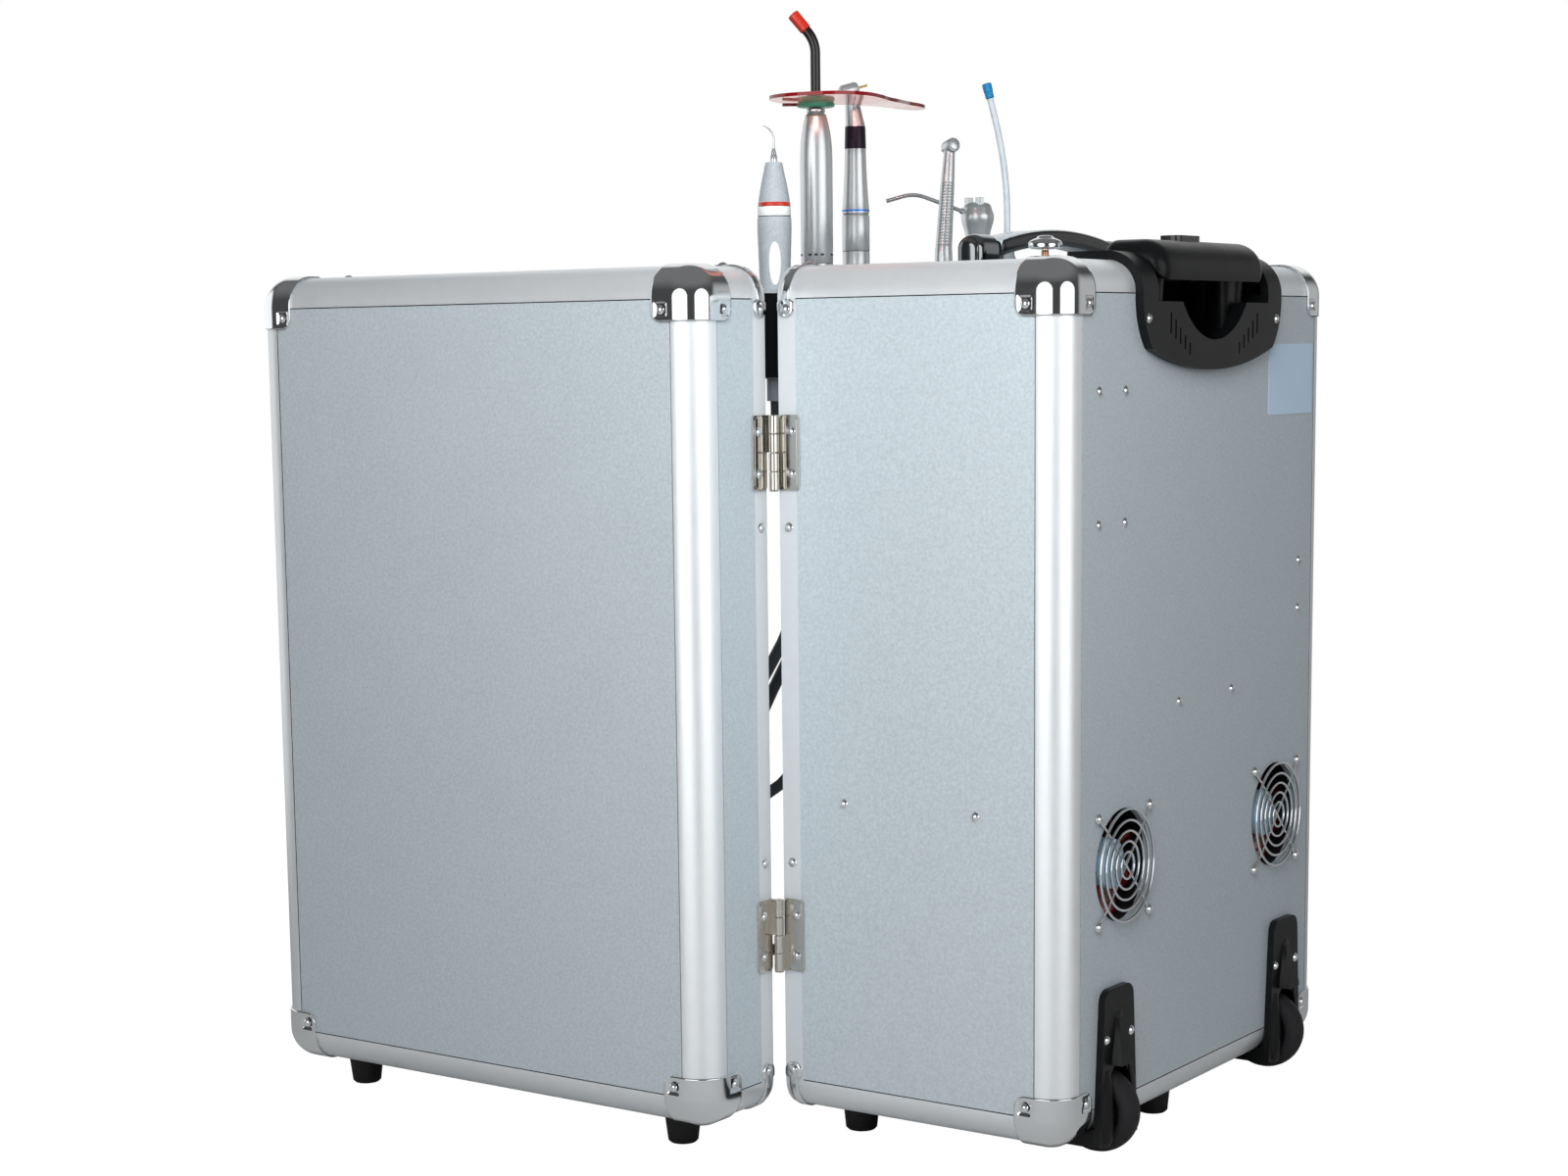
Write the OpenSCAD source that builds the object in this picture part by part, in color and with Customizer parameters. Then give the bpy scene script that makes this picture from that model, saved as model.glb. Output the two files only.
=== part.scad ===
// Portable dental unit in an aluminium trolley case, door open, instruments in their holder.
// Millimetres, +Z up, the instrument side faces -Y and the wheels are at the +Y side.
// Origin: on the floor, under the middle of the unit's bounding box without its hoses.

/* [Case] */
// Outside width of the case
case_w = 396; // [380:1:440]
// Outside height of the case, without its feet
case_h = 574; // [540:1:640]
// Depth of the main box, from its rear face to its rim
box_d = 217; // [200:1:260]
// Depth of the door, from its rim to its outer face
door_d = 76; // [66:1:100]
// Outer radius of the rounded edge profiles
edge_r = 21; // [18:0.5:24]
// Flat strip of an edge profile between its round and the panel seam
edge_flat = 1.2; // [1:0.2:3]
// Wall of the edge profiles
edge_wall = 3; // [2:0.5:4]
// Thickness of the laminated wall panels
panel_t = 4; // [3:0.5:6]
// Width of the flat frame round each half's opening
rim_w = 14; // [10:1:18]
// Thickness of that frame, from the outside in
rim_t = 9; // [8:0.5:12]
// Space between the two rims when the door is shut
rim_gap = 0.5; // [0.3:0.1:1]
// Thickness of the pressed chrome corners
corner_t = 1.2; // [0.8:0.1:2]
// Length of a chrome corner along each edge
corner_len = 36; // [30:1:44]

/* [Feet and wheels] */
// Height of the rubber feet
foot_h = 21.5; // [18:0.5:30]
// Radius of a foot where it meets the case
foot_r = 13; // [10:0.5:16]
// Distance of the door's feet from its ends
foot_inset = 50; // [50:1:70]
// Radius of the wheels
wheel_r = 29; // [26:0.5:31]
// Width of a wheel
wheel_w = 20; // [14:1:24]
// Radius of the wheel axles
axle_r = 4; // [3:0.5:5]
// Distance of the wheels' middle from the case's side faces
wheel_inset = 67; // [60:1:75]
// Height of the wheel axles above the bottom of the case
axle_up = 15; // [13:1:20]

/* [Rear fittings] */
// Distance of each fan's axis from the case's side faces
fan_inset = 80; // [76:1:84]
// Height of the fans' axis above the bottom of the case
fan_up = 179; // [165:1:200]
// Side of the square fan frames
fan_side = 80; // [78:1:82]
// Pitch of the fans' screws
fan_pitch = 71.5; // [70:0.5:73]
// Width of the trolley handle's housing
housing_w = 211; // [208:1:226]
// Thickness of the housing's skin over the case
housing_t = 6; // [5:0.5:8]
// Distance between the trolley handle's two tubes
tube_pitch = 120; // [112:1:124]
// Radius of the inner tubes
tube_r = 8; // [6:0.5:9]
// How far the trolley handle pulls out
handle_travel = 400; // [300:10:420]

/* [Door hinges] */
// Distance of the hinge axis outside the case's side face
hinge_out = 6; // [5:0.5:8]
// Height of a hinge
hinge_h = 50; // [40:1:60]
// Radius of the hinge pins
hinge_pin_r = 1.7; // [1.4:0.1:1.8]
// How far the door stands open as drawn, from shut
door_angle = 90; // [90:1:120]

/* [Instruments] */
// Distance of the row of instruments in front of the box's rim
holder_out = 35; // [33:1:40]
// Height of a holder cup
cup_h = 57; // [45:1:65]
// Distance of the cups' tops below the top of the case
cup_down = 17; // [12:1:30]
// Outer radius of a cup
cup_r = 16; // [15:0.5:18]
// Radius of the cups' bores
cup_bore_r = 10; // [9.6:0.1:11]
// Depth to which an instrument's hose end hangs below its cup
tail_len = 16; // [10:1:24]
// Radius of the handpiece hoses
hose_r = 4.2; // [3.5:0.1:5]
// Radius of the suction hose
suction_r = 5.5; // [5:0.1:6.5]

/* [Hidden] */
$fn = 48;

// clearances
skin_gap = 0.2;     // pressed corners over the case's skin
run_gap = 0.06;     // radial, round pins and shafts that turn
slide_gap = 0.3;    // pieces that slide past each other
cut_gap = 0.5;      // openings round a fitting
joint_gap = 0.3;    // between edge profiles under a corner

// levels, from the floor
case_z = foot_h;
top_z = foot_h + case_h;
cup_top = top_z - cup_down;
cup_low = cup_top - cup_h;

// the case
seam = edge_r + edge_flat;
half_w = case_w / 2;
hinge_x = half_w + hinge_out;
hinge_y = -box_d - rim_gap / 2;
ledge_l = 8;
ledge_t = 2;
cap_out = skin_gap + corner_t;
bracket_len = edge_r + 13;
corner_screw = 28.5;
hinge_in = 123;

// rivets through the walls, from the edges that they belong to
rivet_ins = [44, 80];
rivet_downs = [84, 169];
far_rivet_downs = [212, 247];
mid_rivet_xs = [-44, 38];
mid_rivet_up = 279;
side_rivet_ins = [168, 66];
side_rivet_up = 217;
rim_rivet_off = 50;

// the wheels and their wells
axle_y = -10;
wheel_x = half_w - wheel_inset;
well_hw = wheel_w / 2 + 10;
well_wall = 3;
well_in = wheel_r - axle_y + 4;
well_up = axle_up + wheel_r + 6;
plate_hw = 27;
plate_top_hw = 20.5;
plate_r = 9;
plate_up = 100;
cheek_out = 3;
rib_up = 82;
plate_t = 5;

// the fans
fan_x = half_w - fan_inset;
fan_d = 25;
rotor_in = 3;
rotor_h = 17;
rotor_skin = 2;
fan_bore_r = 38;
fan_shaft_r = 3;
guard_wire_r = 0.9;
guard_rings = [9, 16, 23, 30, 37.5];
guard_arm = fan_pitch * sqrt(0.5) - guard_rings[4] - 2.4;

// the trolley handle
tray_hw = 84;
tray_deep = 55;
tray_back = 46;
tray_wall = 2.5;
housing_down = 72;
housing_back = 50;
housing_corner_r = 48;
housing_low_r = 300;
window_top = 27;
grip_hw = 80;
grip_top = 14;
tube_y = -17;
tube_wall = 2.5;
outer_tube_r = tube_r + slide_gap + tube_wall;
tube_low = case_z + 60;
button_travel = 3;
button_y = -21;

// the carry handle and the thumb nut
carry_y = -123;
carry_hl = 111;
cap_l = 26;
cap_hw = 10;
cap_floor = 2;
carry_grip_hl = carry_hl - cap_l - 2;
carry_top = 25.5;
arch_r = 400;
stud_r = 1.7;
stud_h = 13;
knob_x = half_w - 45;
knob_y = -40;
knob_r = 11;

// latches, on the side away from the hinges
latch_low = 145;
latch_zs = [case_z + case_h - latch_low, case_z + latch_low];
latch_plate_w = 32;
latch_hh = 17;
lever_pin_r = 1.5;
lever_out = 4.5;
lever_hook = 3.8;
screw_rise = 1.8;
lever_in = 22;
strike_lip = 15;

// the compressor inside
pump_tray_hw = 100;
pump_l = 120;
pump_r = 44;
pump_up = 62;
head_r = 30;
vessel_l = 150;
vessel_r = 22;
vessel_up = 150;

// the front of the main box
panel_y = -box_d + rim_w;
face_t = 3;
face_in = panel_t + ledge_t + 0.4;
spindle_r = 3;
rocker_deep = 14;
rocker_tilt = 8;
holder_y = -box_d - holder_out;
rail_t = 8;
scaler_x = 150;
light_x = 98;
motor_x = 48;
spare_x = -12;
speed_x = -72;
syringe_x = -122;
ejector_x = -167;
motor_h = 56.5;
contra_bend = 118;
contra_lean = 8;
contra_head = 25;
contra_turn = 150;
speed_bend = 34;
speed_lean = 7;
speed_head = 77;
bur_r = 0.8;
image_left = -55;
cup_xs = [scaler_x, light_x, motor_x, spare_x, speed_x, syringe_x, ejector_x];
seat_r = cup_bore_r + 1.2;
body_r = cup_bore_r - slide_gap;
inlet_x = -half_w + 58;
inlet_z = 95;
inlet_w = 25;
inlet_h = 17;
rocker_z = 150;
knob_xs = [-70, -20];
front_knob_z = 120;

// hose routes: points chosen by hand, x, y and z from the case's own middle, rear face and the floor
scaler_route = [[150, -252, 505.5], [147, -252, 470], [135, -251, 437], [122, -252, 404], [117, -257, 369],
    [123, -268, 335], [134, -281, 304], [142, -293, 272], [142, -302, 248], [132, -305, 228], [115, -299, 220],
    [101, -286, 229], [93, -269, 252], [87, -251, 281], [82, -241, 299], [80, -230, 319], [80, -211, 327]];
motor_route = [[48, -252, 505.5], [49, -253, 465], [53, -257, 425], [61, -266, 386], [72, -278, 350],
    [84, -292, 315], [96, -305, 279], [106, -317, 240], [112, -325, 199], [111, -328, 158], [103, -324, 123],
    [88, -311, 103], [69, -293, 101], [52, -275, 114], [37, -257, 135], [25, -241, 159], [20, -229, 178],
    [20, -211, 187]];
speed_route = [[-72, -252, 505.5], [-72, -252, 458], [-72, -252, 410], [-72, -252, 364], [-65, -250, 346],
    [-48, -246, 338], [-31, -242, 346], [-24, -239, 362], [-24, -237, 371], [-24, -229.4, 389.4],
    [-24, -211, 397]];
syringe_route = [[-122, -252, 505.5], [-122, -252, 461], [-122, -252, 417], [-122, -252, 371],
    [-115, -250, 353.5], [-98.5, -246, 346], [-82, -242, 353.5], [-75, -239, 370], [-75, -237, 378],
    [-75, -229.4, 396.4], [-75, -211, 404]];
suction_route = [[-167, -252, 505.5], [-167, -252, 445], [-167, -252, 385], [-167, -252, 330],
    [-159.5, -250.5, 312], [-141.5, -247, 304], [-123.5, -244.5, 312], [-116, -242, 331], [-116, -239, 339],
    [-116, -231.5, 356.5], [-116, -211, 365]];
hose_routes = [scaler_route, motor_route, speed_route, syringe_route, suction_route];
gland_y = -211;
hose_down = [0, 0, -1];
hose_in = [0, 1, 0];

// the frame's origin under the middle of everything but the hoses
reach_right = hinge_x + rim_gap / 2 + door_d + cap_out + screw_rise;
reach_left = half_w + lever_out + lever_hook;
reach_rear = axle_y + wheel_r;
reach_front = -hinge_y + case_w + hinge_out + cap_out + screw_rise;
frame_x = (reach_right - reach_left) / 2;
frame_y = (reach_rear - reach_front) / 2;

// ---------- helpers ----------

module placed() translate([-frame_x, -frame_y, 0]) children();

module flipped(v, on) {
    if (on) mirror(v) children();
    else children();
}

module in_box() placed() translate([0, 0, case_z]) children();

// the door's own frame is the box's: outer face at y = 0 and rim at y = -door_d, turned round and hinged
module in_door() placed()
    translate([hinge_x, hinge_y, 0])
    rotate([0, 0, door_angle])
    translate([-hinge_x, -hinge_y - box_d - rim_gap - door_d, case_z])
    rotate([0, 0, 180])
    children();

module round_rect(w, h, r) {
    square([w - 2 * r, h], center = true);
    square([w, h - 2 * r], center = true);
    for (sx = [-1, 1], sy = [-1, 1]) translate([sx * (w / 2 - r), sy * (h / 2 - r)]) circle(r);
}

module slab(x0, x1, y0, y1, z0, z1) translate([x0, y0, z0]) cube([x1 - x0, y1 - y0, z1 - z0]);

// a domed rivet or screw head on the plane z = 0
module head(r = 3.3, rise = screw_rise) {
    ball = (r * r + rise * rise) / (2 * rise);
    intersection() {
        translate([0, 0, rise - ball]) sphere(ball);
        cylinder(r = r, h = rise + 1);
    }
}

module head_on_rear(x, z, out = 0) translate([x, out, z]) rotate([-90, 0, 0]) head();
module head_on_side(s, y, z, out = 0) translate([s * (half_w + out), y, z]) rotate([0, s * 90, 0]) head();

// a thin rod of straight stretches, each [length, bend before it]; children stand on its end
module bent_rod(stretches, r, i = 0) rotate([0, stretches[i][1], 0]) {
    cylinder(r = r, h = stretches[i][0]);
    translate([0, 0, stretches[i][0]]) {
        if (i < len(stretches) - 1) {
            sphere(r * 1.05);
            bent_rod(stretches, r, i + 1) children();
        }
        else children();
    }
}

function unit(v) = v / norm(v);
side_hint = unit([1, -1, 0.3]);
function heading(p, i) = i == 0 ? hose_down : i == len(p) - 1 ? hose_in
    : unit(unit(p[i] - p[i - 1]) + unit(p[i + 1] - p[i]));
function ring(p, t, r, n) =
    let (u = unit(side_hint - (side_hint * t) * t), v = cross(t, u))
    [for (k = [0 : n - 1]) p + r * (cos(360 * k / n) * u + sin(360 * k / n) * v)];

module hose(p, r, n = 8) {
    m = len(p);
    rings = [for (i = [0 : m - 1]) each ring(p[i], heading(p, i), r, n)];
    walls = [for (i = [0 : m - 2], k = [0 : n - 1])
        let (a = i * n + k, b = i * n + (k + 1) % n)
        each [[a, a + n, b], [b, a + n, b + n]]];
    caps = [for (k = [1 : n - 2]) each [[0, k, k + 1], [(m - 1) * n, (m - 1) * n + k + 1, (m - 1) * n + k]]];
    polyhedron(points = rings, faces = concat(walls, caps));
}

// ---------- the case's shell, for a half of depth d ----------

module edge_section() {
    difference() {
        intersection() {
            translate([edge_r, edge_r]) circle(edge_r);
            square(edge_r);
        }
        translate([edge_r, edge_r]) circle(edge_r - edge_wall);
    }
    for (swap = [0, 1]) flipped([1, -1, 0], swap == 1) {
        translate([edge_r, 0]) square([edge_flat, panel_t + ledge_t]);
        translate([edge_r - 1, 1]) square([1, panel_t + ledge_t - 1]);
        translate([edge_r - 1, panel_t]) square([edge_flat + 1 + ledge_l, ledge_t]);
    }
}

module shell_edges(d) {
    for (right = [0, 1]) flipped([1, 0, 0], right == 1) {
        translate([-half_w, 0, seam]) mirror([0, 1, 0]) linear_extrude(case_h - 2 * seam) edge_section();
        for (up = [0, 1]) translate([0, 0, up * case_h]) flipped([0, 0, 1], up == 1)
            translate([-half_w, -seam - joint_gap, 0]) rotate([90, 0, 0])
            linear_extrude(d - seam - joint_gap - rim_w) edge_section();
    }
    for (up = [0, 1]) translate([0, 0, up * case_h]) flipped([0, 0, 1], up == 1)
        translate([-half_w + seam + joint_gap, 0, 0]) mirror([0, 1, 0]) rotate([90, 0, 90])
        linear_extrude(case_w - 2 * (seam + joint_gap)) edge_section();
}

module shell_rim(d) translate([0, -d + rim_w, case_h / 2]) rotate([90, 0, 0]) linear_extrude(rim_w)
    difference() {
        round_rect(case_w, case_h, edge_r);
        round_rect(case_w - 2 * rim_t, case_h - 2 * rim_t, edge_r - rim_t);
    }

module face_panel() slab(-half_w + seam, half_w - seam, -panel_t, 0, seam, case_h - seam);

module wall_panels(d) {
    for (s = [-1, 1]) slab(s > 0 ? half_w - panel_t : -half_w, s > 0 ? half_w : -half_w + panel_t,
        -d + rim_w, -seam, seam, case_h - seam);
    for (z = [0, case_h - panel_t]) slab(-half_w + seam, half_w - seam, -d + rim_w, -seam, z, z + panel_t);
}

module round_block(out, len) {
    far = len - edge_r;
    translate([edge_r, edge_r, edge_r]) {
        sphere(edge_r + out);
        cylinder(r = edge_r + out, h = far);
        rotate([0, 90, 0]) cylinder(r = edge_r + out, h = far);
        rotate([-90, 0, 0]) cylinder(r = edge_r + out, h = far);
    }
    translate([edge_r, edge_r, -out]) cube([far, far, len + out]);
    translate([edge_r, -out, edge_r]) cube([far, len + out, far]);
    translate([-out, edge_r, edge_r]) cube([len + out, far, far]);
}

module ball_corner() difference() {
    intersection() {
        round_block(cap_out, corner_len + 6);
        translate([-cap_out, -cap_out, -cap_out]) cube(corner_len + cap_out);
    }
    round_block(skin_gap, corner_len + 10);
}

// a quarter ring with two tabs, round a rim's corner
module rim_wrap() {
    rotate([90, 0, 0]) linear_extrude(rim_w - 1) {
        intersection() {
            difference() {
                translate([edge_r, edge_r]) circle(edge_r + cap_out);
                translate([edge_r, edge_r]) circle(edge_r + skin_gap);
            }
            translate([-cap_out, -cap_out]) square(edge_r + cap_out);
        }
        translate([edge_r, -cap_out]) square([bracket_len - edge_r, corner_t]);
        translate([-cap_out, edge_r]) square([corner_t, bracket_len - edge_r]);
    }
}

module shell_corners(d) for (right = [0, 1], up = [0, 1])
    flipped([1, 0, 0], right == 1) translate([0, 0, up * case_h]) flipped([0, 0, 1], up == 1) {
        translate([-half_w, 0, 0]) mirror([0, 1, 0]) ball_corner();
        translate([-half_w, -d + rim_w - 0.5, 0]) rim_wrap();
    }

module corner_heads(d) for (right = [0, 1], up = [0, 1])
    flipped([1, 0, 0], right == 1) translate([0, 0, up * case_h]) flipped([0, 0, 1], up == 1) {
        head_on_rear(half_w - corner_screw, corner_screw, cap_out);
        head_on_side(1, -corner_screw, corner_screw, cap_out);
        head_on_side(1, -d + rim_w / 2, corner_screw, cap_out);
        translate([half_w - corner_screw, -d + rim_w / 2, -cap_out]) mirror([0, 0, 1]) head();
    }

module foot(bottom_r) translate([0, 0, -foot_h]) rotate_extrude() polygon([
    [0, 0], [bottom_r - 1.5, 0], [bottom_r, 1.5], [foot_r, foot_h], [0, foot_h]]);

// ---------- main box ----------

// the space that the trolley handle's housing takes out of the shell
module housing_space() slab(-tray_hw - tray_wall - cut_gap, tray_hw + tray_wall + cut_gap,
    -tray_back - tray_wall - cut_gap, 50, case_h - tray_deep - tray_wall - cut_gap, case_h + 50);

module well_spaces() for (s = [-1, 1]) slab(s * wheel_x - well_hw - cut_gap, s * wheel_x + well_hw + cut_gap,
    -well_in - well_wall - cut_gap, 50, -50, well_up + well_wall + cut_gap);

module box_panels() color("lightslategray") in_box() difference() {
    union() {
        face_panel();
        wall_panels(box_d);
    }
    housing_space();
    well_spaces();
    for (s = [-1, 1]) translate([s * fan_x, 1, fan_up]) rotate([90, 0, 0]) cylinder(r = fan_bore_r, h = 20);
}

module box_edges() color("silver") in_box() difference() {
    shell_edges(box_d);
    housing_space();
    well_spaces();
}

module box_rim() color("silver") in_box() shell_rim(box_d);

module box_corners() color("gainsboro") in_box() shell_corners(box_d);

module box_fasteners() color("gainsboro") in_box() {
    corner_heads(box_d);
    for (in = rivet_ins, down = rivet_downs) head_on_rear(half_w - in, case_h - down);
    for (down = far_rivet_downs) head_on_rear(-half_w + rivet_ins[0], case_h - down);
    for (x = mid_rivet_xs) head_on_rear(x, mid_rivet_up);
    for (s = [-1, 1], in = side_rivet_ins) head_on_side(s, -in, side_rivet_up);
    for (s = [-1, 1], up = rim_rivet_ups()) head_on_side(s, -box_d + rim_w / 2, up);
    // housing, fan guards and wheel brackets
    for (s = [-1, 1]) head_on_rear(s * (housing_w / 2 - 8), case_h - 38, housing_t);
    for (s = [-1, 1], i = [-1, 1], j = [-1, 1])
        head_on_rear(s * fan_x + i * fan_pitch / 2, fan_up + j * fan_pitch / 2, 2 * guard_wire_r);
    for (s = [-1, 1], i = [-1, 1]) head_on_rear(s * wheel_x + i * 17, 67, plate_t);
    // hinges
    for (up = hinge_ups(), j = [-1, 1]) head_on_side(1, -box_d + 11, up + j * 14, 1.6);
    // the stud that the thumb nut turns on
    translate([knob_x, knob_y, case_h]) cylinder(r = stud_r, h = stud_h);
}

function hinge_ups() = [case_h - hinge_in, hinge_in];
function rim_rivet_ups() = [case_h - hinge_in - rim_rivet_off, hinge_in + rim_rivet_off];

module box_feet() color("black") in_box() {
    for (s = [-1, 1]) translate([s * (half_w - 49), -box_d + 30, 0]) foot(11);
    translate([0, -37, 0]) foot(11);
}

// ---------- wheels ----------

// an outline in x and z, thick towards the rear
module on_rear(thick) rotate([-90, 0, 0]) mirror([0, 1, 0]) linear_extrude(thick) children();

module bracket_plate() on_rear(plate_t) {
    top_x = plate_top_hw - plate_r;
    top_y = plate_up - plate_r;
    polygon([[-plate_hw, 0], [plate_hw, 0], [plate_top_hw, top_y], [top_x, top_y], [top_x, plate_up],
        [-top_x, plate_up], [-top_x, top_y], [-plate_top_hw, top_y]]);
    for (s = [-1, 1]) translate([s * top_x, top_y]) circle(plate_r);
}

// the raised rib over the wheel, narrower and flatter towards its top
module bracket_rib() intersection() {
    on_rear(40) polygon([[-11, well_up - 10], [11, well_up - 10], [4, rib_up], [-4, rib_up]]);
    along_x(12) polygon([[0, well_up - 10], [plate_t + 8, well_up - 10], [plate_t + 8, well_up - 4],
        [plate_t + 1, rib_up], [0, rib_up]]);
}

module wheel_bracket() difference() {
    union() {
        bracket_plate();
        slab(-well_hw, well_hw, -well_in - well_wall, plate_t, 0.5, well_up + well_wall);
        bracket_rib();
        slab(-plate_hw + 3, plate_hw - 3, -edge_r, plate_t, -3, -0.3);
        // cheeks that carry the axle
        for (s = [-1, 1]) slab(s > 0 ? wheel_w / 2 + 3 : -well_hw, s > 0 ? well_hw : -wheel_w / 2 - 3,
            -well_in - well_wall, plate_t + cheek_out, -6, well_up - 4);
    }
    translate([-wheel_w / 2 - 3, axle_y, axle_up]) rotate([0, 90, 0])
        cylinder(r = wheel_r + 3, h = wheel_w + 6);
    slab(-wheel_w / 2 - 3, wheel_w / 2 + 3, -wheel_r + axle_y - 3, axle_y + wheel_r + 3, -50, axle_up);
    translate([-50, axle_y, axle_up]) rotate([0, 90, 0]) cylinder(r = axle_r, h = 100);
    // the inside of the rib
    slab(-wheel_w / 2 + 4, wheel_w / 2 - 4, -well_in, plate_t + 5, axle_up, well_up + 4);
}

module axle() translate([-well_hw, axle_y, axle_up]) rotate([0, 90, 0]) cylinder(r = axle_r, h = 2 * well_hw);

module wheel_brackets() color("black") in_box() for (s = [-1, 1]) translate([s * wheel_x, 0, 0]) {
    wheel_bracket();
    axle();
}

module wheel() translate([0, axle_y, axle_up]) rotate([0, 90, 0]) rotate_extrude($fn = 72) difference() {
    union() {
        translate([axle_r + run_gap, -wheel_w / 2]) square([wheel_r - 7 - axle_r - run_gap, wheel_w]);
        translate([wheel_r - 7, 0]) intersection() {
            circle(wheel_w / 2);
            translate([0, -wheel_w / 2]) square([7, wheel_w]);
        }
    }
    for (s = [-1, 1]) translate([wheel_r * 0.55, s * wheel_w / 2]) circle(2.4);
}

module wheel_right() color("dimgray") in_box() translate([wheel_x, 0, 0]) wheel();
module wheel_left() color("dimgray") in_box() translate([-wheel_x, 0, 0]) wheel();

// ---------- fans ----------

module fan_frame() translate([0, -panel_t, fan_up]) rotate([90, 0, 0]) {
    difference() {
        linear_extrude(fan_d) round_rect(fan_side, fan_side, 4);
        translate([0, 0, -1]) cylinder(r = fan_bore_r, h = fan_d + 2);
        for (i = [-1, 1], j = [-1, 1]) translate([i, j, 0] * fan_pitch / 2)
            cylinder(r = 2.1, h = fan_d * 3, center = true);
    }
    // motor seat on four arms at the inner side, with the fixed shaft
    translate([0, 0, fan_d - 3]) {
        cylinder(r = 16, h = 3);
        for (a = [45 : 90 : 315]) rotate([0, 0, a]) translate([14, -2, 0]) cube([fan_bore_r - 13, 4, 3]);
    }
    shaft_from = rotor_in + rotor_skin + slide_gap;
    translate([0, 0, shaft_from]) cylinder(r = fan_shaft_r, h = fan_d - shaft_from);
}

module fan_frames() color("black") in_box() for (s = [-1, 1]) translate([s * fan_x, 0, 0]) fan_frame();

module fan_rotor() translate([0, -panel_t - rotor_in, fan_up]) rotate([90, 0, 0]) difference() {
    union() {
        cylinder(r = 17, h = rotor_h);
        for (a = [0 : 360 / 7 : 359]) rotate([0, 0, a]) translate([15, 0, 8.5]) rotate([38, 0, 0])
            translate([0, -1, -9]) cube([fan_bore_r - 18, 2, 18]);
    }
    translate([0, 0, rotor_skin]) cylinder(r = fan_shaft_r + run_gap, h = rotor_h);
}

module fan_rotor_right() color("lightsteelblue") in_box() translate([fan_x, 0, 0]) fan_rotor();
module fan_rotor_left() color("lightsteelblue") in_box() translate([-fan_x, 0, 0]) fan_rotor();

module wire_ring(r) rotate_extrude($fn = 64) translate([r, 0]) circle(guard_wire_r, $fn = 16);

module fan_guard() translate([0, guard_wire_r, fan_up]) rotate([-90, 0, 0]) {
    translate([0, 0, 2.6]) {
        for (r = guard_rings) wire_ring(r);
        for (a = [45, 135]) rotate([0, 0, a]) translate([-guard_rings[4], 0, -1.3]) rotate([0, 90, 0])
            cylinder(r = guard_wire_r, h = 2 * guard_rings[4], $fn = 16);
    }
    for (a = [45 : 90 : 315]) rotate([0, 0, a]) {
        translate([fan_pitch * sqrt(0.5), 0, 0]) wire_ring(2.6);
        translate([guard_rings[4] - 0.5, 0, 1.3]) rotate([0, 90 + asin(1.3 / guard_arm), 0])
            cylinder(r = guard_wire_r, h = guard_arm, $fn = 16);
    }
}

module fan_guards() color("gainsboro") in_box() for (s = [-1, 1]) translate([s * fan_x, 0, 0]) fan_guard();

// ---------- trolley handle ----------

// y and z section of the case's top rear edge grown by out, from back to the housing's lower end
module housing_section(out) {
    translate([-edge_r, case_h - edge_r]) circle(edge_r + out);
    translate([-housing_back, case_h - edge_r]) square([housing_back - edge_r, edge_r + out]);
    translate([-edge_r, case_h - housing_down]) square([edge_r + out, housing_down - edge_r]);
}

module along_x(hw) translate([-hw, 0, 0]) rotate([90, 0, 90]) linear_extrude(2 * hw) children();

// front view of the housing's skin: round lower corners and a wide curve between them
module housing_outline(low, hw) rotate([90, 0, 0]) translate([0, 0, -60]) linear_extrude(160)
    intersection() {
        translate([0, low + 100]) round_rect(2 * hw, 200, housing_corner_r);
        translate([0, low + housing_low_r]) circle(housing_low_r, $fn = 96);
    }

module handle_housing() color("black") in_box() difference() {
    union() {
        intersection() {
            along_x(housing_w / 2) difference() {
                housing_section(housing_t);
                translate([-60, case_h - edge_r]) square([60 - edge_r, edge_r + skin_gap]);
                translate([-edge_r, case_h - edge_r]) circle(edge_r + skin_gap);
                translate([-60, case_h - 100]) square([60 + skin_gap - 0.2, 100 - edge_r]);
            }
            housing_outline(case_h - housing_down, housing_w / 2);
        }
        // the tray let into the case
        slab(-tray_hw - tray_wall, tray_hw + tray_wall, -tray_back - tray_wall, 0,
            case_h - tray_deep - tray_wall, case_h - edge_r);
        slab(-tray_hw - tray_wall, tray_hw + tray_wall, -tray_back - tray_wall, -edge_r,
            case_h - edge_r - 1, case_h + housing_t);
    }
    slab(-tray_hw, tray_hw, -tray_back, -panel_t, case_h - tray_deep, case_h + 50);
    slab(-tray_hw, tray_hw, -tray_back, 50, case_h - window_top, case_h + 50);
    // finger window
    intersection() {
        translate([0, 50, case_h - tray_deep + 3 + 60]) rotate([90, 0, 0]) cylinder(r = 60, h = 80, $fn = 96);
        slab(-60, 60, -30, 50, case_h - tray_deep, case_h);
    }
    for (s = [-1, 1]) translate([s * tube_pitch / 2, tube_y, case_h - 100])
        cylinder(r = tube_r + slide_gap, h = 100);
    // vent slots below the window, stepped along its curve
    for (s = [-1, 1], i = [0 : 4]) translate([s * (66 - 7 * i), 0, case_h])
        slab(-1, 1, housing_t - 2, housing_t + 1, -48 - 3.4 * i, -34 - 5 * i);
}

module at_tubes() for (s = [-1, 1]) translate([s * tube_pitch / 2, tube_y, 0]) children();

module handle_outer_tubes() color("silver") in_box() at_tubes() difference() {
    translate([0, 0, tube_low - case_z])
        cylinder(r = outer_tube_r, h = case_h - tray_deep - tray_wall - tube_low + case_z);
    translate([0, 0, tube_low - case_z + 3]) cylinder(r = tube_r + slide_gap, h = case_h);
}

grip_low = grip_top - 26;

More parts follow.
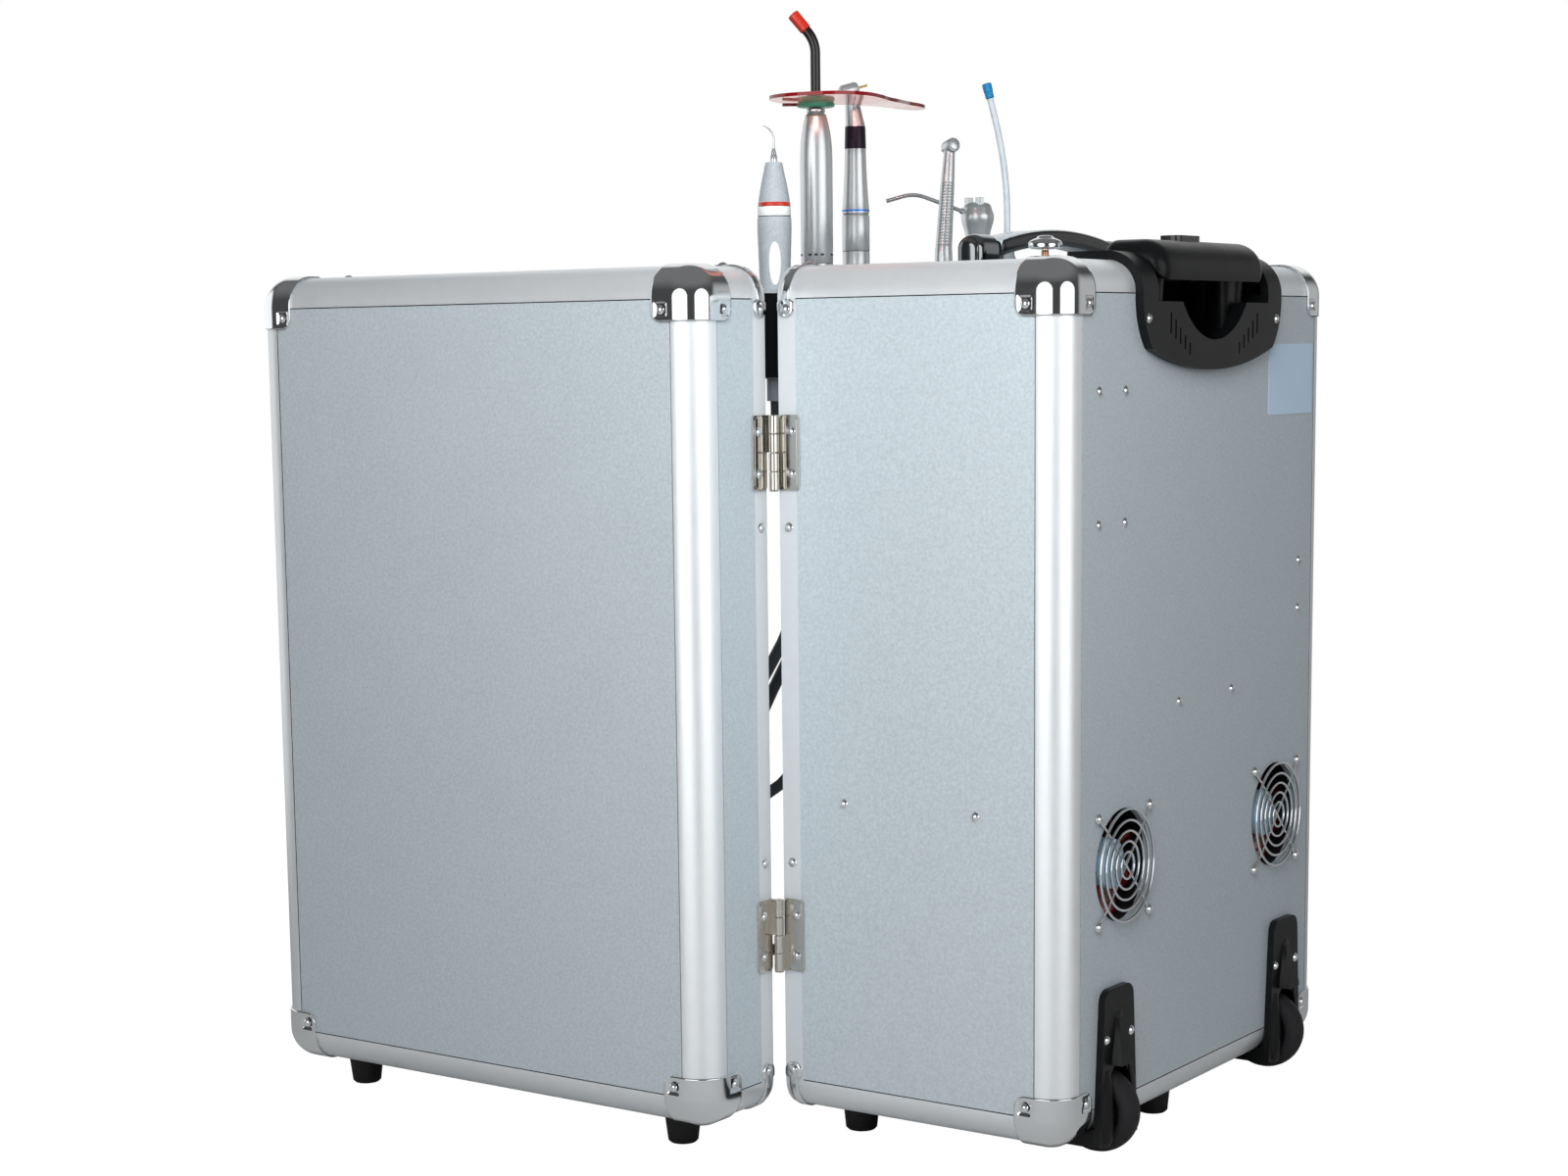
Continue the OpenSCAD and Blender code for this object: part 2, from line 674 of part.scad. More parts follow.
module handle_inner_tubes() color("gainsboro") in_box() at_tubes()
    translate([0, 0, tube_low - case_z + 6])
        cylinder(r = tube_r, h = case_h + grip_low - tube_low + case_z - 6);

module grip_section(shrink) {
    translate([-15, case_h + grip_top - 22]) circle(22 - shrink);
    translate([-40 + shrink, case_h + grip_top - 22]) square([25 - shrink, 22 - shrink]);
    translate([-40 + shrink, case_h + grip_low]) square([47 - 2 * shrink, grip_top - 22 - grip_low]);
}

module handle_grip() color("black") in_box() difference() {
    intersection() {
        along_x(grip_hw) grip_section(0);
        slab(-grip_hw, grip_hw, -50, 50, case_h + grip_low, case_h + 50);
        // ends rounded as seen from the rear
        rotate([90, 0, 0]) translate([0, 0, -60]) linear_extrude(160) translate([0, case_h + grip_top - 60])
            round_rect(2 * grip_hw, 120, 13);
    }
    // finger room under the grip
    intersection() {
        along_x(tube_pitch / 2 - tube_r - 4) grip_section(5);
        slab(-grip_hw, grip_hw, -50, 50, 0, case_h + grip_top - 13);
    }
    // the button's pocket
    slab(-18 - slide_gap, 18 + slide_gap, button_y - 8 - slide_gap, button_y + 8 + slide_gap,
        case_h + grip_top - 7.5, case_h + 50);
}

module handle_button() color("dimgray") in_box()
    translate([0, button_y, case_h + grip_top - 7.5 + button_travel + 0.4])
    linear_extrude(8) round_rect(36, 16, 6);

// ---------- carry handle and thumb nut ----------

module cap_section(r, low) {
    translate([0, 10]) circle(r);
    translate([-r, low]) square([2 * r, 10 - low]);
}

module carry_caps() color("gainsboro") in_box() for (s = [0, 1]) flipped([1, 0, 0], s == 1)
    translate([carry_hl - cap_l, carry_y, case_h]) rotate([90, 0, 90]) difference() {
        linear_extrude(cap_l) cap_section(cap_hw, 0);
        translate([0, 0, -1]) linear_extrude(cap_l - 2) cap_section(cap_hw - 2, cap_floor);
    }

module carry_handle() color("dimgray") in_box() translate([0, carry_y, case_h]) {
    // tongues in the caps, and the arched grip between them
    for (s = [0, 1]) flipped([1, 0, 0], s == 1)
        slab(carry_grip_hl - 12, carry_hl - 5, -6, 6, cap_floor + slide_gap, cap_floor + 5);
    intersection() {
        translate([0, 0, carry_top - arch_r]) rotate([90, 0, 0]) difference() {
            cylinder(r = arch_r, h = 24, center = true, $fn = 360);
            cylinder(r = arch_r - 11, h = 30, center = true, $fn = 360);
        }
        slab(-carry_grip_hl, carry_grip_hl, -12, 12, 4, carry_top + 5);
    }
}

module top_knob() color("gainsboro") in_box() translate([knob_x, knob_y, case_h + 6]) difference() {
    union() {
        cylinder(r = knob_r, h = 6, $fn = 12);
        translate([0, 0, 5]) cylinder(r = 6.5, h = 4);
    }
    translate([0, 0, -1]) cylinder(r = stud_r + run_gap, h = 20);
}

// ---------- door hinges ----------

// leaf on the plane x = half_w, with its half of the barrel above (part 1) or below (part 0) the middle
module hinge_leaf(part) {
    z0 = part == 1 ? 0.15 : -hinge_h / 2;
    barrel_h = hinge_h / 2 - 0.15;
    difference() {
        union() {
            translate([half_w, rim_gap / 2, 0]) rotate([90, 0, 90]) linear_extrude(1.6)
                translate([9, 0]) round_rect(16, hinge_h, 3);
            slab(half_w, hinge_out + half_w - 1.8, 0.8, 3.2, z0, z0 + barrel_h);
            translate([hinge_x, 0, z0]) cylinder(r = 3.4, h = barrel_h);
        }
        translate([hinge_x, 0, -hinge_h]) cylinder(r = hinge_pin_r + run_gap, h = 2 * hinge_h);
    }
}

module hinge_pin() translate([hinge_x, 0, -hinge_h / 2]) cylinder(r = hinge_pin_r, h = hinge_h);
module hinge_washer() translate([hinge_x, 0, -hinge_h / 2 - 1]) cylinder(r = 3.2, h = 1);

module hinge_box_leaves() color("silver") placed() for (up = hinge_ups()) translate([0, hinge_y, case_z + up]) {
    hinge_leaf(0);
    hinge_pin();
    hinge_washer();
}

module hinge_door_leaves() color("silver") placed() translate([hinge_x, hinge_y, 0])
    rotate([0, 0, door_angle]) translate([-hinge_x, 0, 0])
    for (up = hinge_ups()) translate([0, 0, case_z + up]) mirror([0, 1, 0]) hinge_leaf(1);

// ---------- latches ----------

module latch_plates() color("silver") placed() for (z = latch_zs)
    translate([-half_w, -box_d, z]) mirror([1, 0, 0]) {
    translate([0, 2, 0]) slab(0, 1.5, 0, latch_plate_w, -latch_hh, latch_hh);
    // ears with the lever's pin
    for (s = [-1, 1]) translate([0, lever_in, s * (latch_hh - 2)]) slab(1.5, lever_out + 2, -3, 3, -1.5, 1.5);
    translate([lever_out, lever_in, 0]) cylinder(r = lever_pin_r, h = 2 * latch_hh - 4, center = true);
}

// the lever reaches past the rim and hooks behind the strike's lip
module latch_lever() translate([-half_w, -box_d, 0]) mirror([1, 0, 0]) difference() {
    union() {
        translate([lever_out, lever_in, 0]) cylinder(r = 2.6, h = 2 * latch_hh - 8, center = true);
        slab(lever_out - 1.2, lever_out + 1.2, -strike_lip - 3, lever_in, -latch_hh + 6, latch_hh - 6);
        slab(1.9, lever_out + 1.2, -strike_lip - 3, -strike_lip - 0.5, -latch_hh + 6, latch_hh - 6);
        slab(lever_out - 1.2, lever_out + lever_hook, -strike_lip - 3, -strike_lip - 0.5,
            -latch_hh + 6, latch_hh - 6);
    }
    translate([lever_out, lever_in, 0]) cylinder(r = lever_pin_r + run_gap, h = 4 * latch_hh, center = true);
}

module latch_lever_upper() color("gainsboro") placed() translate([0, 0, latch_zs[0]]) latch_lever();
module latch_lever_lower() color("gainsboro") placed() translate([0, 0, latch_zs[1]]) latch_lever();

module latch_strikes() color("silver") in_door() for (z = latch_zs) translate([half_w, -door_d, z - case_z]) {
    slab(0, 1.5, 3, strike_lip + 4, -latch_hh, latch_hh);
    slab(1.5, 2.9, strike_lip - 3, strike_lip, -latch_hh + 4, latch_hh - 4);
}

// ---------- front of the main box ----------

module on_panel(x, z) placed() translate([x, panel_y, z]) rotate([90, 0, 0]) children();

module control_panel() color("whitesmoke") {
    in_box() translate([0, panel_y + face_t, case_h / 2])
    rotate([90, 0, 0]) linear_extrude(face_t) difference() {
        round_rect(case_w - 2 * face_in, case_h - 2 * face_in, edge_r - face_in);
        translate([inlet_x, rocker_z - case_z - case_h / 2]) square([15, 27], center = true);
        translate([inlet_x, inlet_z - case_z - case_h / 2]) square([inlet_w + 4, inlet_h + 4], center = true);
    }
    // the spindles of the two front knobs
    for (x = knob_xs) on_panel(x, front_knob_z) cylinder(r = spindle_r, h = 9);
}

module instrument_holder() color("black") placed() difference() {
    union() {
        for (x = cup_xs) translate([x, holder_y, cup_low]) cylinder(r = cup_r, h = cup_h);
        translate([0, holder_y + cup_bore_r + 2, 0])
            slab(cup_xs[6] - cup_r, cup_xs[0] + cup_r, 0, rail_t, cup_low + 10, cup_top - 12);
        for (s = [-1, 1]) slab(s * 130 - 9, s * 130 + 9, holder_y + cup_bore_r + 4, panel_y,
            cup_low + 12, cup_top - 16);
    }
    for (x = cup_xs) translate([x, holder_y, cup_low - 1]) cylinder(r = cup_bore_r, h = cup_h + 2);
}

module across(x0, x1, y, z, r) translate([x0, y, z]) rotate([0, 90, 0]) cylinder(r = r, h = x1 - x0);

module compressor() color("dimgray") in_box() translate([0, -box_d / 2 - 8, panel_t]) {
    // the tray that it stands on
    slab(-pump_tray_hw, pump_tray_hw, -50, 50, 0, 8);
    // motor, its seat, the cylinder and head at its end
    across(-pump_l + 30, 30, 0, pump_up, pump_r);
    slab(-75, 20, -30, 30, 6, 40);
    translate([60, 0, 7]) cylinder(r = head_r, h = 90);
    translate([60, 0, 92]) cylinder(r = head_r - 6, h = 26);
    slab(20, 45, -12, 12, 50, 74);
    // air vessel behind the motor, on two feet
    across(-90, -90 + vessel_l, -28, vessel_up, vessel_r);
    for (x = [-70, 30]) slab(x - 4, x + 4, -34, -22, 6, vessel_up - 18);
}

module panel_sockets() color("dimgray") {
    // the mains inlet, for a lead with a three-hole plug
    on_panel(inlet_x, inlet_z) {
        difference() {
            union() {
                linear_extrude(3) round_rect(48, 32, 4);
                translate([0, 0, -18]) linear_extrude(19) square([inlet_w + 3, inlet_h + 3], center = true);
            }
            translate([0, 0, -16]) linear_extrude(20) square([inlet_w, inlet_h], center = true);
        }
        for (i = [-1, 0, 1]) translate([i * 7 - 1, i == 0 ? 1 : -5, -17]) cube([2, 4, 12]);
    }
    // the hoses' glands
    for (route = hose_routes) {
        end = route[len(route) - 1];
        hose_end_r = route == suction_route ? suction_r : hose_r;
        on_panel(end[0], end[2]) {
            cylinder(r = hose_end_r + 3.4, h = 4, $fn = 6);
            cylinder(r = hose_end_r + 1.1, h = panel_y - gland_y);
        }
    }
}

module power_rocker() color("firebrick") on_panel(inlet_x, rocker_z) translate([0, 0, -rocker_deep])
    rotate([rocker_tilt, 0, 0]) intersection() {
        rotate([0, 90, 0]) cylinder(r = rocker_deep + 4, h = 14, center = true);
        translate([0, 0, rocker_deep]) cube([14, 21, 12], center = true);
    }

module front_knob(x) on_panel(x, front_knob_z) difference() {
    union() {
        translate([0, 0, 0.4]) cylinder(r = 13, h = 3);
        translate([0, 0, 0.4]) cylinder(r = 10, h = 14);
        translate([-1.2, 0, 6]) cube([2.4, 11.5, 8]);
    }
    translate([0, 0, -1]) cylinder(r = spindle_r + run_gap, h = 10.5);
}

module air_knob() color("royalblue") front_knob(knob_xs[0]);
module water_knob() color("seagreen") front_knob(knob_xs[1]);

// ---------- door ----------

module door_panels() color("lightslategray") in_door() {
    face_panel();
    wall_panels(door_d);
}

module door_edges() color("silver") in_door() shell_edges(door_d);
module door_rim() color("silver") in_door() shell_rim(door_d);
module door_corners() color("gainsboro") in_door() shell_corners(door_d);

module door_fasteners() color("gainsboro") in_door() {
    corner_heads(door_d);
    for (up = hinge_ups(), j = [-1, 1]) head_on_side(-1, -door_d + 11, up + j * 14, 1.6);
    for (up = rim_rivet_ups()) head_on_side(-1, -door_d + rim_w / 2, up);
}

module door_feet() color("black") in_door() for (s = [-1, 1])
    translate([s * (half_w - foot_inset), -door_d / 2, 0]) foot(10.5);

// ---------- instruments, each turned about its cup's axis ----------

module at_cup(x) placed() translate([x, holder_y, cup_top]) children();

// the part of an instrument that hangs in its cup, with its hose end below
module tail(r = body_r) {
    translate([0, 0, -cup_h - tail_len]) cylinder(r = 6.5, h = tail_len + 2);
    translate([0, 0, -cup_h]) cylinder(r = r, h = cup_h);
    cylinder(r = seat_r, h = 3);
}

module scaler() color("lightgray") at_cup(scaler_x) {
    tail();
    rotate_extrude() polygon([[0, 1], [seat_r - 0.7, 1], [seat_r - 1, 8], [11.6, 42], [11.7, 52], [11.3, 53],
        [11.3, 56], [11.3, 66], [8.8, 78], [5.6, 88], [0, 88]]);
}

tip_low = 88;
module scaler_tip() color("silver") at_cup(scaler_x) {
    translate([0, 0, tip_low]) cylinder(r = 2.4, h = 6);
    translate([0, 0, tip_low + 6]) cylinder(r1 = 2, r2 = 1, h = 3);
    translate([0, 0, tip_low + 8]) rotate([0, 0, image_left]) bent_rod([[7, -3], [5, 30], [6, 32]], 0.7);
}

light_top = 123;
module curing_light() color("silver") at_cup(light_x) {
    tail();
    rotate_extrude() polygon([[0, 1], [11.1, 1], [11.3, 100], [10.4, 112], [7.6, light_top], [0, light_top]]);
    translate([0, 0, light_top - 0.5]) cylinder(r = 6.6, h = 5);
}

guide_low = light_top + 4.5;
guide_r = 3.5;
module light_guide() color("darkred") at_cup(light_x) translate([0, 0, guide_low]) rotate([0, 0, image_left])
    bent_rod([[41, 0], [8, 20], [6, 20]], guide_r) cylinder(r = 4.1, h = 13);

shield_z = guide_low + 0.3;
module light_shield() color("orangered") at_cup(light_x) translate([0, 0, shield_z]) difference() {
    union() {
        cylinder(r = 13, h = 3.6);
        cylinder(r = 9, h = 7.2);
        // the plate, with a wing past the next instrument
        translate([0, 0, 3.6]) linear_extrude(2.4) {
            translate([10, 14]) circle(38);
            translate([-96, 18]) circle(10);
            polygon([[16, 51.4], [-93, 27.5], [-97, 9], [-20, 9]]);
        }
    }
    translate([0, 0, -1]) cylinder(r = guide_r + run_gap, h = 20);
}

module micromotor() color("silver") at_cup(motor_x) {
    tail();
    rotate_extrude() polygon([[0, 1], [9.8, 1], [9.8, motor_h], [0, motor_h]]);
}

module at_contra_bend() translate([0, 0, contra_bend]) rotate([0, -contra_lean, contra_turn]) children();
module at_contra_head() at_contra_bend() translate([0, 0, contra_head]) rotate([0, 82, 0]) children();

module contra_angle() color("silver") at_cup(motor_x) difference() {
    union() {
        translate([0, 0, motor_h]) rotate_extrude() polygon([[0, 0], [9.8, 0], [9.8, 4], [9.2, 9], [7.8, 30],
            [7.4, 46], [7.2, contra_bend - motor_h], [0, contra_bend - motor_h]]);
        at_contra_bend() {
            sphere(7.5);
            rotate_extrude() polygon([[0, 0], [6.6, 0], [5.6, 12], [4.4, 18], [4, contra_head],
                [0, contra_head]]);
        }
        at_contra_head() {
            translate([0, 0, -7]) cylinder(r = 5, h = 12);
            translate([0, 0, -8.4]) cylinder(r = 3.8, h = 2);
        }
    }
    at_contra_head() translate([0, 0, -4]) cylinder(r = bur_r + run_gap, h = 20);
}

module bur(out) {
    translate([0, 0, -4]) cylinder(r = bur_r, h = out + 4);
    translate([0, 0, out - 0.5]) cylinder(r1 = bur_r, r2 = 0.4, h = 3.5);
}

module contra_bur() color("gold") at_cup(motor_x) at_contra_head() bur(11);

module at_speed_bend() translate([0, 0, speed_bend]) rotate([0, -speed_lean, 0]) children();
module at_speed_head() at_speed_bend() translate([0, 0, speed_head]) rotate([0, 97, 240]) children();

module highspeed_handpiece() color("silver") at_cup(speed_x) difference() {
    union() {
        tail();
        rotate_extrude() polygon([[0, 1], [8.6, 1], [7.2, 12], [6.4, speed_bend], [0, speed_bend]]);
        at_speed_bend() {
            sphere(6.7);
            rotate_extrude() polygon([[0, 0], [6.2, 0], [5.9, 30], [4.6, 62], [4.1, speed_head],
                [0, speed_head]]);
        }
        at_speed_head() {
            translate([0, 0, -6.5]) cylinder(r = 5.3, h = 11.5);
            translate([0, 0, -7.6]) cylinder(r = 4.2, h = 2);
        }
    }
    at_speed_head() translate([0, 0, -4]) cylinder(r = bur_r + run_gap, h = 20);
}

module highspeed_bur() color("silver") at_cup(speed_x) at_speed_head() bur(10);

syringe_top = 72;
button_ys = [-6, 6];
module syringe() color("silver") at_cup(syringe_x) difference() {
    union() {
        tail();
        rotate_extrude() polygon([[0, 1], [8.6, 1], [8.2, 36], [10.2, 50], [12.6, 58], [12.6, 62],
            [10.5, syringe_top - 3], [8, syringe_top], [0, syringe_top]]);
        // the nozzle, out, up and down again to its tip
        rotate([0, 0, image_left]) translate([8, 0, 63]) bent_rod([[43, 69], [22, 36]], 1.5);
    }
    for (y = button_ys) translate([5, y * 0.8, 64]) cylinder(r = 3.2 + slide_gap, h = 20);
}

module syringe_button(y) at_cup(syringe_x) translate([5, y * 0.8, 64 + 2.3]) cylinder(r = 3.2, h = 8);
module syringe_air_button() color("gainsboro") syringe_button(button_ys[0]);
module syringe_water_button() color("gainsboro") syringe_button(button_ys[1]);

module saliva_ejector() color("gainsboro") at_cup(ejector_x) difference() {
    union() {
        tail();
        rotate_extrude() polygon([[0, 1], [8.4, 1], [8.4, 26], [5.6, 32], [5.6, 44], [0, 44]]);
        translate([0, 0, 14]) rotate([90, 0, 0]) cylinder(r = 4.5, h = 26, center = true);
    }
    translate([0, 0, 34]) cylinder(r = 2.4 + slide_gap, h = 20);
}

module ejector_tube() color("aliceblue") at_cup(ejector_x) translate([0, 0, 34]) rotate([0, 0, image_left])
    bent_rod([[40, 0], [26, 5], [26, 5], [28, 4]], 2.4) translate([0, 0, -2]) cylinder(r = 3.7, h = 14);

// ---------- hoses ----------

module scaler_hose() color("gray") placed() hose(scaler_route, hose_r);
module motor_hose() color("dimgray") placed() hose(motor_route, hose_r);
module highspeed_hose() color("dimgray") placed() hose(speed_route, hose_r);
module syringe_hose() color("dimgray") placed() hose(syringe_route, hose_r);
module suction_hose() color("silver") placed() hose(suction_route, suction_r);

box_panels();
box_edges();
box_rim();
box_corners();
box_fasteners();
box_feet();
wheel_brackets();
fan_frames();
fan_guards();
handle_housing();
handle_outer_tubes();
carry_caps();
latch_plates();
hinge_box_leaves();
control_panel();
panel_sockets();
instrument_holder();
compressor();
wheel_right();
wheel_left();
fan_rotor_right();
fan_rotor_left();
handle_inner_tubes();
handle_grip();
handle_button();
carry_handle();
top_knob();
latch_lever_upper();
latch_lever_lower();
power_rocker();
air_knob();
water_knob();
door_panels();
door_edges();
door_rim();
door_corners();
door_fasteners();
door_feet();
hinge_door_leaves();
latch_strikes();
scaler();
scaler_tip();
curing_light();
light_guide();
light_shield();
micromotor();
contra_angle();
contra_bur();
highspeed_handpiece();
highspeed_bur();
syringe();
syringe_air_button();
syringe_water_button();
saliva_ejector();
ejector_tube();
scaler_hose();
motor_hose();
highspeed_hose();
syringe_hose();
suction_hose();
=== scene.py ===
import math

import bmesh
import bpy
from bpy.props import FloatProperty, FloatVectorProperty, PointerProperty
from mathutils import Matrix, Vector


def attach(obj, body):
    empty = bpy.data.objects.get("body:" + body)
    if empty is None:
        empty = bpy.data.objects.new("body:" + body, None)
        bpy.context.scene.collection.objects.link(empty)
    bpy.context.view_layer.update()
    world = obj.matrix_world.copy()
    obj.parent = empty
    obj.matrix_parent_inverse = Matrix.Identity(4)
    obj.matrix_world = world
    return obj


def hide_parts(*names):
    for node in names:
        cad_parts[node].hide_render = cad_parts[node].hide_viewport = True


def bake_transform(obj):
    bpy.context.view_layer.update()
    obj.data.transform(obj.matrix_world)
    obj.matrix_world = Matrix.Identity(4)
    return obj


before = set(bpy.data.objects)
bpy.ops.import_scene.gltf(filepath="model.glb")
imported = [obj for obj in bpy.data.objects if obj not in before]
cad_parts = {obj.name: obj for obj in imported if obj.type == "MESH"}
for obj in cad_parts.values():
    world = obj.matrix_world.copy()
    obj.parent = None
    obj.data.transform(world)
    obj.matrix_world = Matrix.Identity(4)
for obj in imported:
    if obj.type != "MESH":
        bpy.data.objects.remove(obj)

bl_info = {
    "name": "Portable dental unit",
    "version": (1, 0, 0),
    "blender": (4, 5, 0),
    "location": "3D View > Sidebar > Dental unit",
    "description": "Dresses the packed model of a portable dental unit in a trolley case",
    "category": "Object",
}

# ---------- where things are, in millimetres, from the case's middle, rear face and the floor ----------

CASE_W, CASE_H, CASE_Z = 396.0, 574.0, 21.5
BOX_D, DOOR_D, RIM_GAP = 217.0, 76.0, 0.5
HALF_W = CASE_W / 2
EDGE_R, SEAM, PANEL_T = 21.0, 22.2, 4.0
RIM_W = 14.0
HINGE_X, HINGE_Y, HINGE_IN = 204.0, -217.25, 123.0
WHEEL_X, AXLE_Y, AXLE_Z, AXLE_R = 131.0, -10.0, 15.0, 3.95
FAN_X, FAN_Z = 118.0, 179.0
LATCH_IN = 145.0
HOLDER_Y, CUP_TOP = -252.0, 578.5
CUP_X = {
    "scaler": 150, "curing_light": 98, "micromotor": 48,
    "highspeed": -72, "syringe": -122, "saliva_ejector": -167,
}
FRAME_X, FRAME_Y = 38.575, -301.725
# the turn about a cup's axis that points a bent tip to the picture's left
IMAGE_LEFT = -55.0

# the camera that took the photograph: its lens, and where it stood and looked, in metres and degrees
SENSOR_MM, LENS_MM, SHIFT_X, SHIFT_Y = 36.0, 63.42, 0.0204, 0.0973
CAMERA_AT, CAMERA_YAW, CAMERA_PITCH, CAMERA_ROLL = (1.686645, 1.138815, 0.54017), 125.25, 81.96, -0.728

SAME = Matrix.Identity(4)
MILLI = Matrix.Scale(0.001, 4)
FLIP_X, FLIP_Y, FLIP_Z = (Matrix.Scale(-1, 4, axis) for axis in ((1, 0, 0), (0, 1, 0), (0, 0, 1)))


def shift(x, y, z):
    return Matrix.Translation((x, y, z))


def turn(degrees, axis):
    return Matrix.Rotation(math.radians(degrees), 4, axis)


def axes(x, y, z):
    """The turn that takes X, Y and Z to these three directions."""
    return Matrix((x, y, z)).transposed().to_4x4()


PLACED = MILLI @ shift(-FRAME_X, -FRAME_Y, 0)
IN_BOX = PLACED @ shift(0, 0, CASE_Z)
IN_DOOR = (
    PLACED
    @ shift(HINGE_X, HINGE_Y, 0)
    @ turn(90, "Z")
    @ shift(-HINGE_X, -HINGE_Y - BOX_D - RIM_GAP - DOOR_D, CASE_Z)
    @ turn(180, "Z")
)
ON_TOP = IN_BOX @ shift(0, 0, CASE_H)
UPSIDE_DOWN = shift(0, 0, CASE_H) @ FLIP_Z
# each half of the case: its name, body, frame and depth
HALVES = (("box", "case", IN_BOX, BOX_D), ("door", "door", IN_DOOR, DOOR_D))


def at_cup(instrument):
    """The frame of an instrument's cup: its axis is Z, and z 0 is the cup's top."""
    return PLACED @ shift(CUP_X[instrument], HOLDER_Y, CUP_TOP)


# ---------- colours ----------

def linear(hex_colour):
    """sRGB hex, such as "8E999B", to linear RGBA."""
    srgb = [int(hex_colour[i : i + 2], 16) / 255 for i in (0, 2, 4)]
    return [c / 12.92 if c <= 0.04045 else ((c + 0.055) / 1.055) ** 2.4 for c in srgb] + [1.0]


def colour_setting(name, description, hex_colour):
    return FloatVectorProperty(
        name=name, description=description, subtype="COLOR", size=4, min=0, max=1, default=linear(hex_colour)
    )


def length_setting(name, description, size_mm, most_mm):
    return FloatProperty(
        name=name, description=description, unit="LENGTH", precision=5, min=0, max=most_mm / 1000,
        default=size_mm / 1000,
    )


def light_setting(name, description, level, unit="POWER"):
    return FloatProperty(name=name, description=description, unit=unit, default=level, min=0)


class DentalUnitColours(bpy.types.PropertyGroup):
    """Colours of the finishes, read when a piece is built."""

    laminate: colour_setting("Laminate", "Film on the case's aluminium walls", "ABB5BB")
    black: colour_setting("Black ABS", "Handle housing, wheel brackets and holder", "08090A")
    label: colour_setting("Bare plate", "The unprinted plate on the rear wall", "A9C0D4")
    scaler: colour_setting("Scaler body", "The scaler's grey handpiece", "8A9196")
    red: colour_setting("Red caps", "The scaler's ring and the curing light's cap", "9A2315")
    teal: colour_setting("Shield grommet", "The silicone ring under the eye shield", "4BAE8E")
    shield: colour_setting("Eye shield", "The clear face of the eye shield", "F2A79C")
    shield_edge: colour_setting("Eye shield rim", "The eye shield's rim and tab", "6A0A10")
    tip_blue: colour_setting("Ejector tip", "The saliva ejector's soft tip", "196F9F")
    light_hose: colour_setting("Light hose", "The suction hose", "9AA0A3")
    dark_hose: colour_setting("Dark hoses", "The handpieces' hoses", "34373A")


class DentalUnitSizes(bpy.types.PropertyGroup):
    """Sizes of details that the frame leaves open."""

    corner_sheet: length_setting("Corner sheet", "Thickness of the pressed chrome corners", 1.2, 2)
    recess: length_setting("Screw recess", "Depth of the recess pressed round a corner's screw", 0.75, 1.2)
    groove: length_setting("Profile groove", "Depth of the dark groove beside an edge profile", 1.1, 3)
    softened: length_setting("Soft edges", "Rounding of the moulded pieces' edges", 0.7, 1.5)
    shield_wave: length_setting("Shield wave", "How far the eye shield's plate waves up and down", 0.5, 1)
    blade: length_setting("Fan blade", "Thickness of the fans' blades", 0.7, 1.5)


class DentalUnitStudio(bpy.types.PropertyGroup):
    """Lights of the stage."""

    key: light_setting("Key light", "Power of the key softbox", 28.5)
    fill: light_setting("Fill light", "Power of the fill softbox", 14)
    top: light_setting("Top light", "Power of the top softbox", 4)
    front: light_setting("Front light", "Power of the front softbox", 34)
    ceiling: light_setting("Ceiling", "Brightness that metal mirrors from above", 0.12, "NONE")
    diffuse: light_setting("Ambient", "Brightness of the even light", 0.13, "NONE")


# ---------- stage ----------

def add(tree, kind, sockets=None, **settings):
    """Adds one node: settings by name, and each socket's value or the output linked to it."""
    node = tree.nodes.new(kind)
    for name, value in settings.items():
        setattr(node, name, value)
    for name, value in (sockets or {}).items():
        if isinstance(value, bpy.types.NodeSocket):
            tree.links.new(value, node.inputs[name])
        else:
            node.inputs[name].default_value = value
    return node


def blank(name, **shader):
    """A material with a Principled shader set as given, and its tree, shader and object coordinates."""
    material = bpy.data.materials.new(name)
    material.use_nodes = True
    tree = material.node_tree
    tree.nodes.clear()
    bsdf = add(tree, "ShaderNodeBsdfPrincipled", shader)
    add(tree, "ShaderNodeOutputMaterial", {"Surface": bsdf.outputs[0]})
    where = add(tree, "ShaderNodeTexCoord").outputs["Object"]
    return material, tree, bsdf, where


def build_camera():
    scene = bpy.context.scene
    camera = bpy.data.objects.new("photo_camera", bpy.data.cameras.new("photo_camera"))
    scene.collection.objects.link(camera)
    camera.data.sensor_width = SENSOR_MM
    camera.data.lens = LENS_MM
    camera.data.shift_x, camera.data.shift_y = SHIFT_X, SHIFT_Y
    looks = turn(CAMERA_YAW, "Z") @ turn(CAMERA_PITCH, "X") @ turn(CAMERA_ROLL, "Z")
    camera.matrix_world = shift(*CAMERA_AT) @ looks
    camera.data.clip_end = 50
    scene.camera = camera


def seen_directly(tree, path):
    """1 for the camera's own rays, also through the clear pieces, and 0 for all others."""
    rays = {0: path["Is Camera Ray"], 1: path["Is Transmission Ray"]}
    return add(tree, "ShaderNodeMath", rays, operation="MAXIMUM").outputs[0]


def lobe(tree, direction, azimuth, rise, start, end):
    """How near a ray is to one direction: 0 from the cosine start, and 1 from the cosine end."""
    a = math.radians(azimuth)
    aim = Vector((math.cos(a), math.sin(a), rise)).normalized()
    near = add(tree, "ShaderNodeVectorMath", {0: direction, 1: aim}, operation="DOT_PRODUCT")
    return add(
        tree, "ShaderNodeMapRange", {"Value": near.outputs["Value"], "From Min": start, "From Max": end},
        interpolation_type="SMOOTHSTEP",
    ).outputs[0]


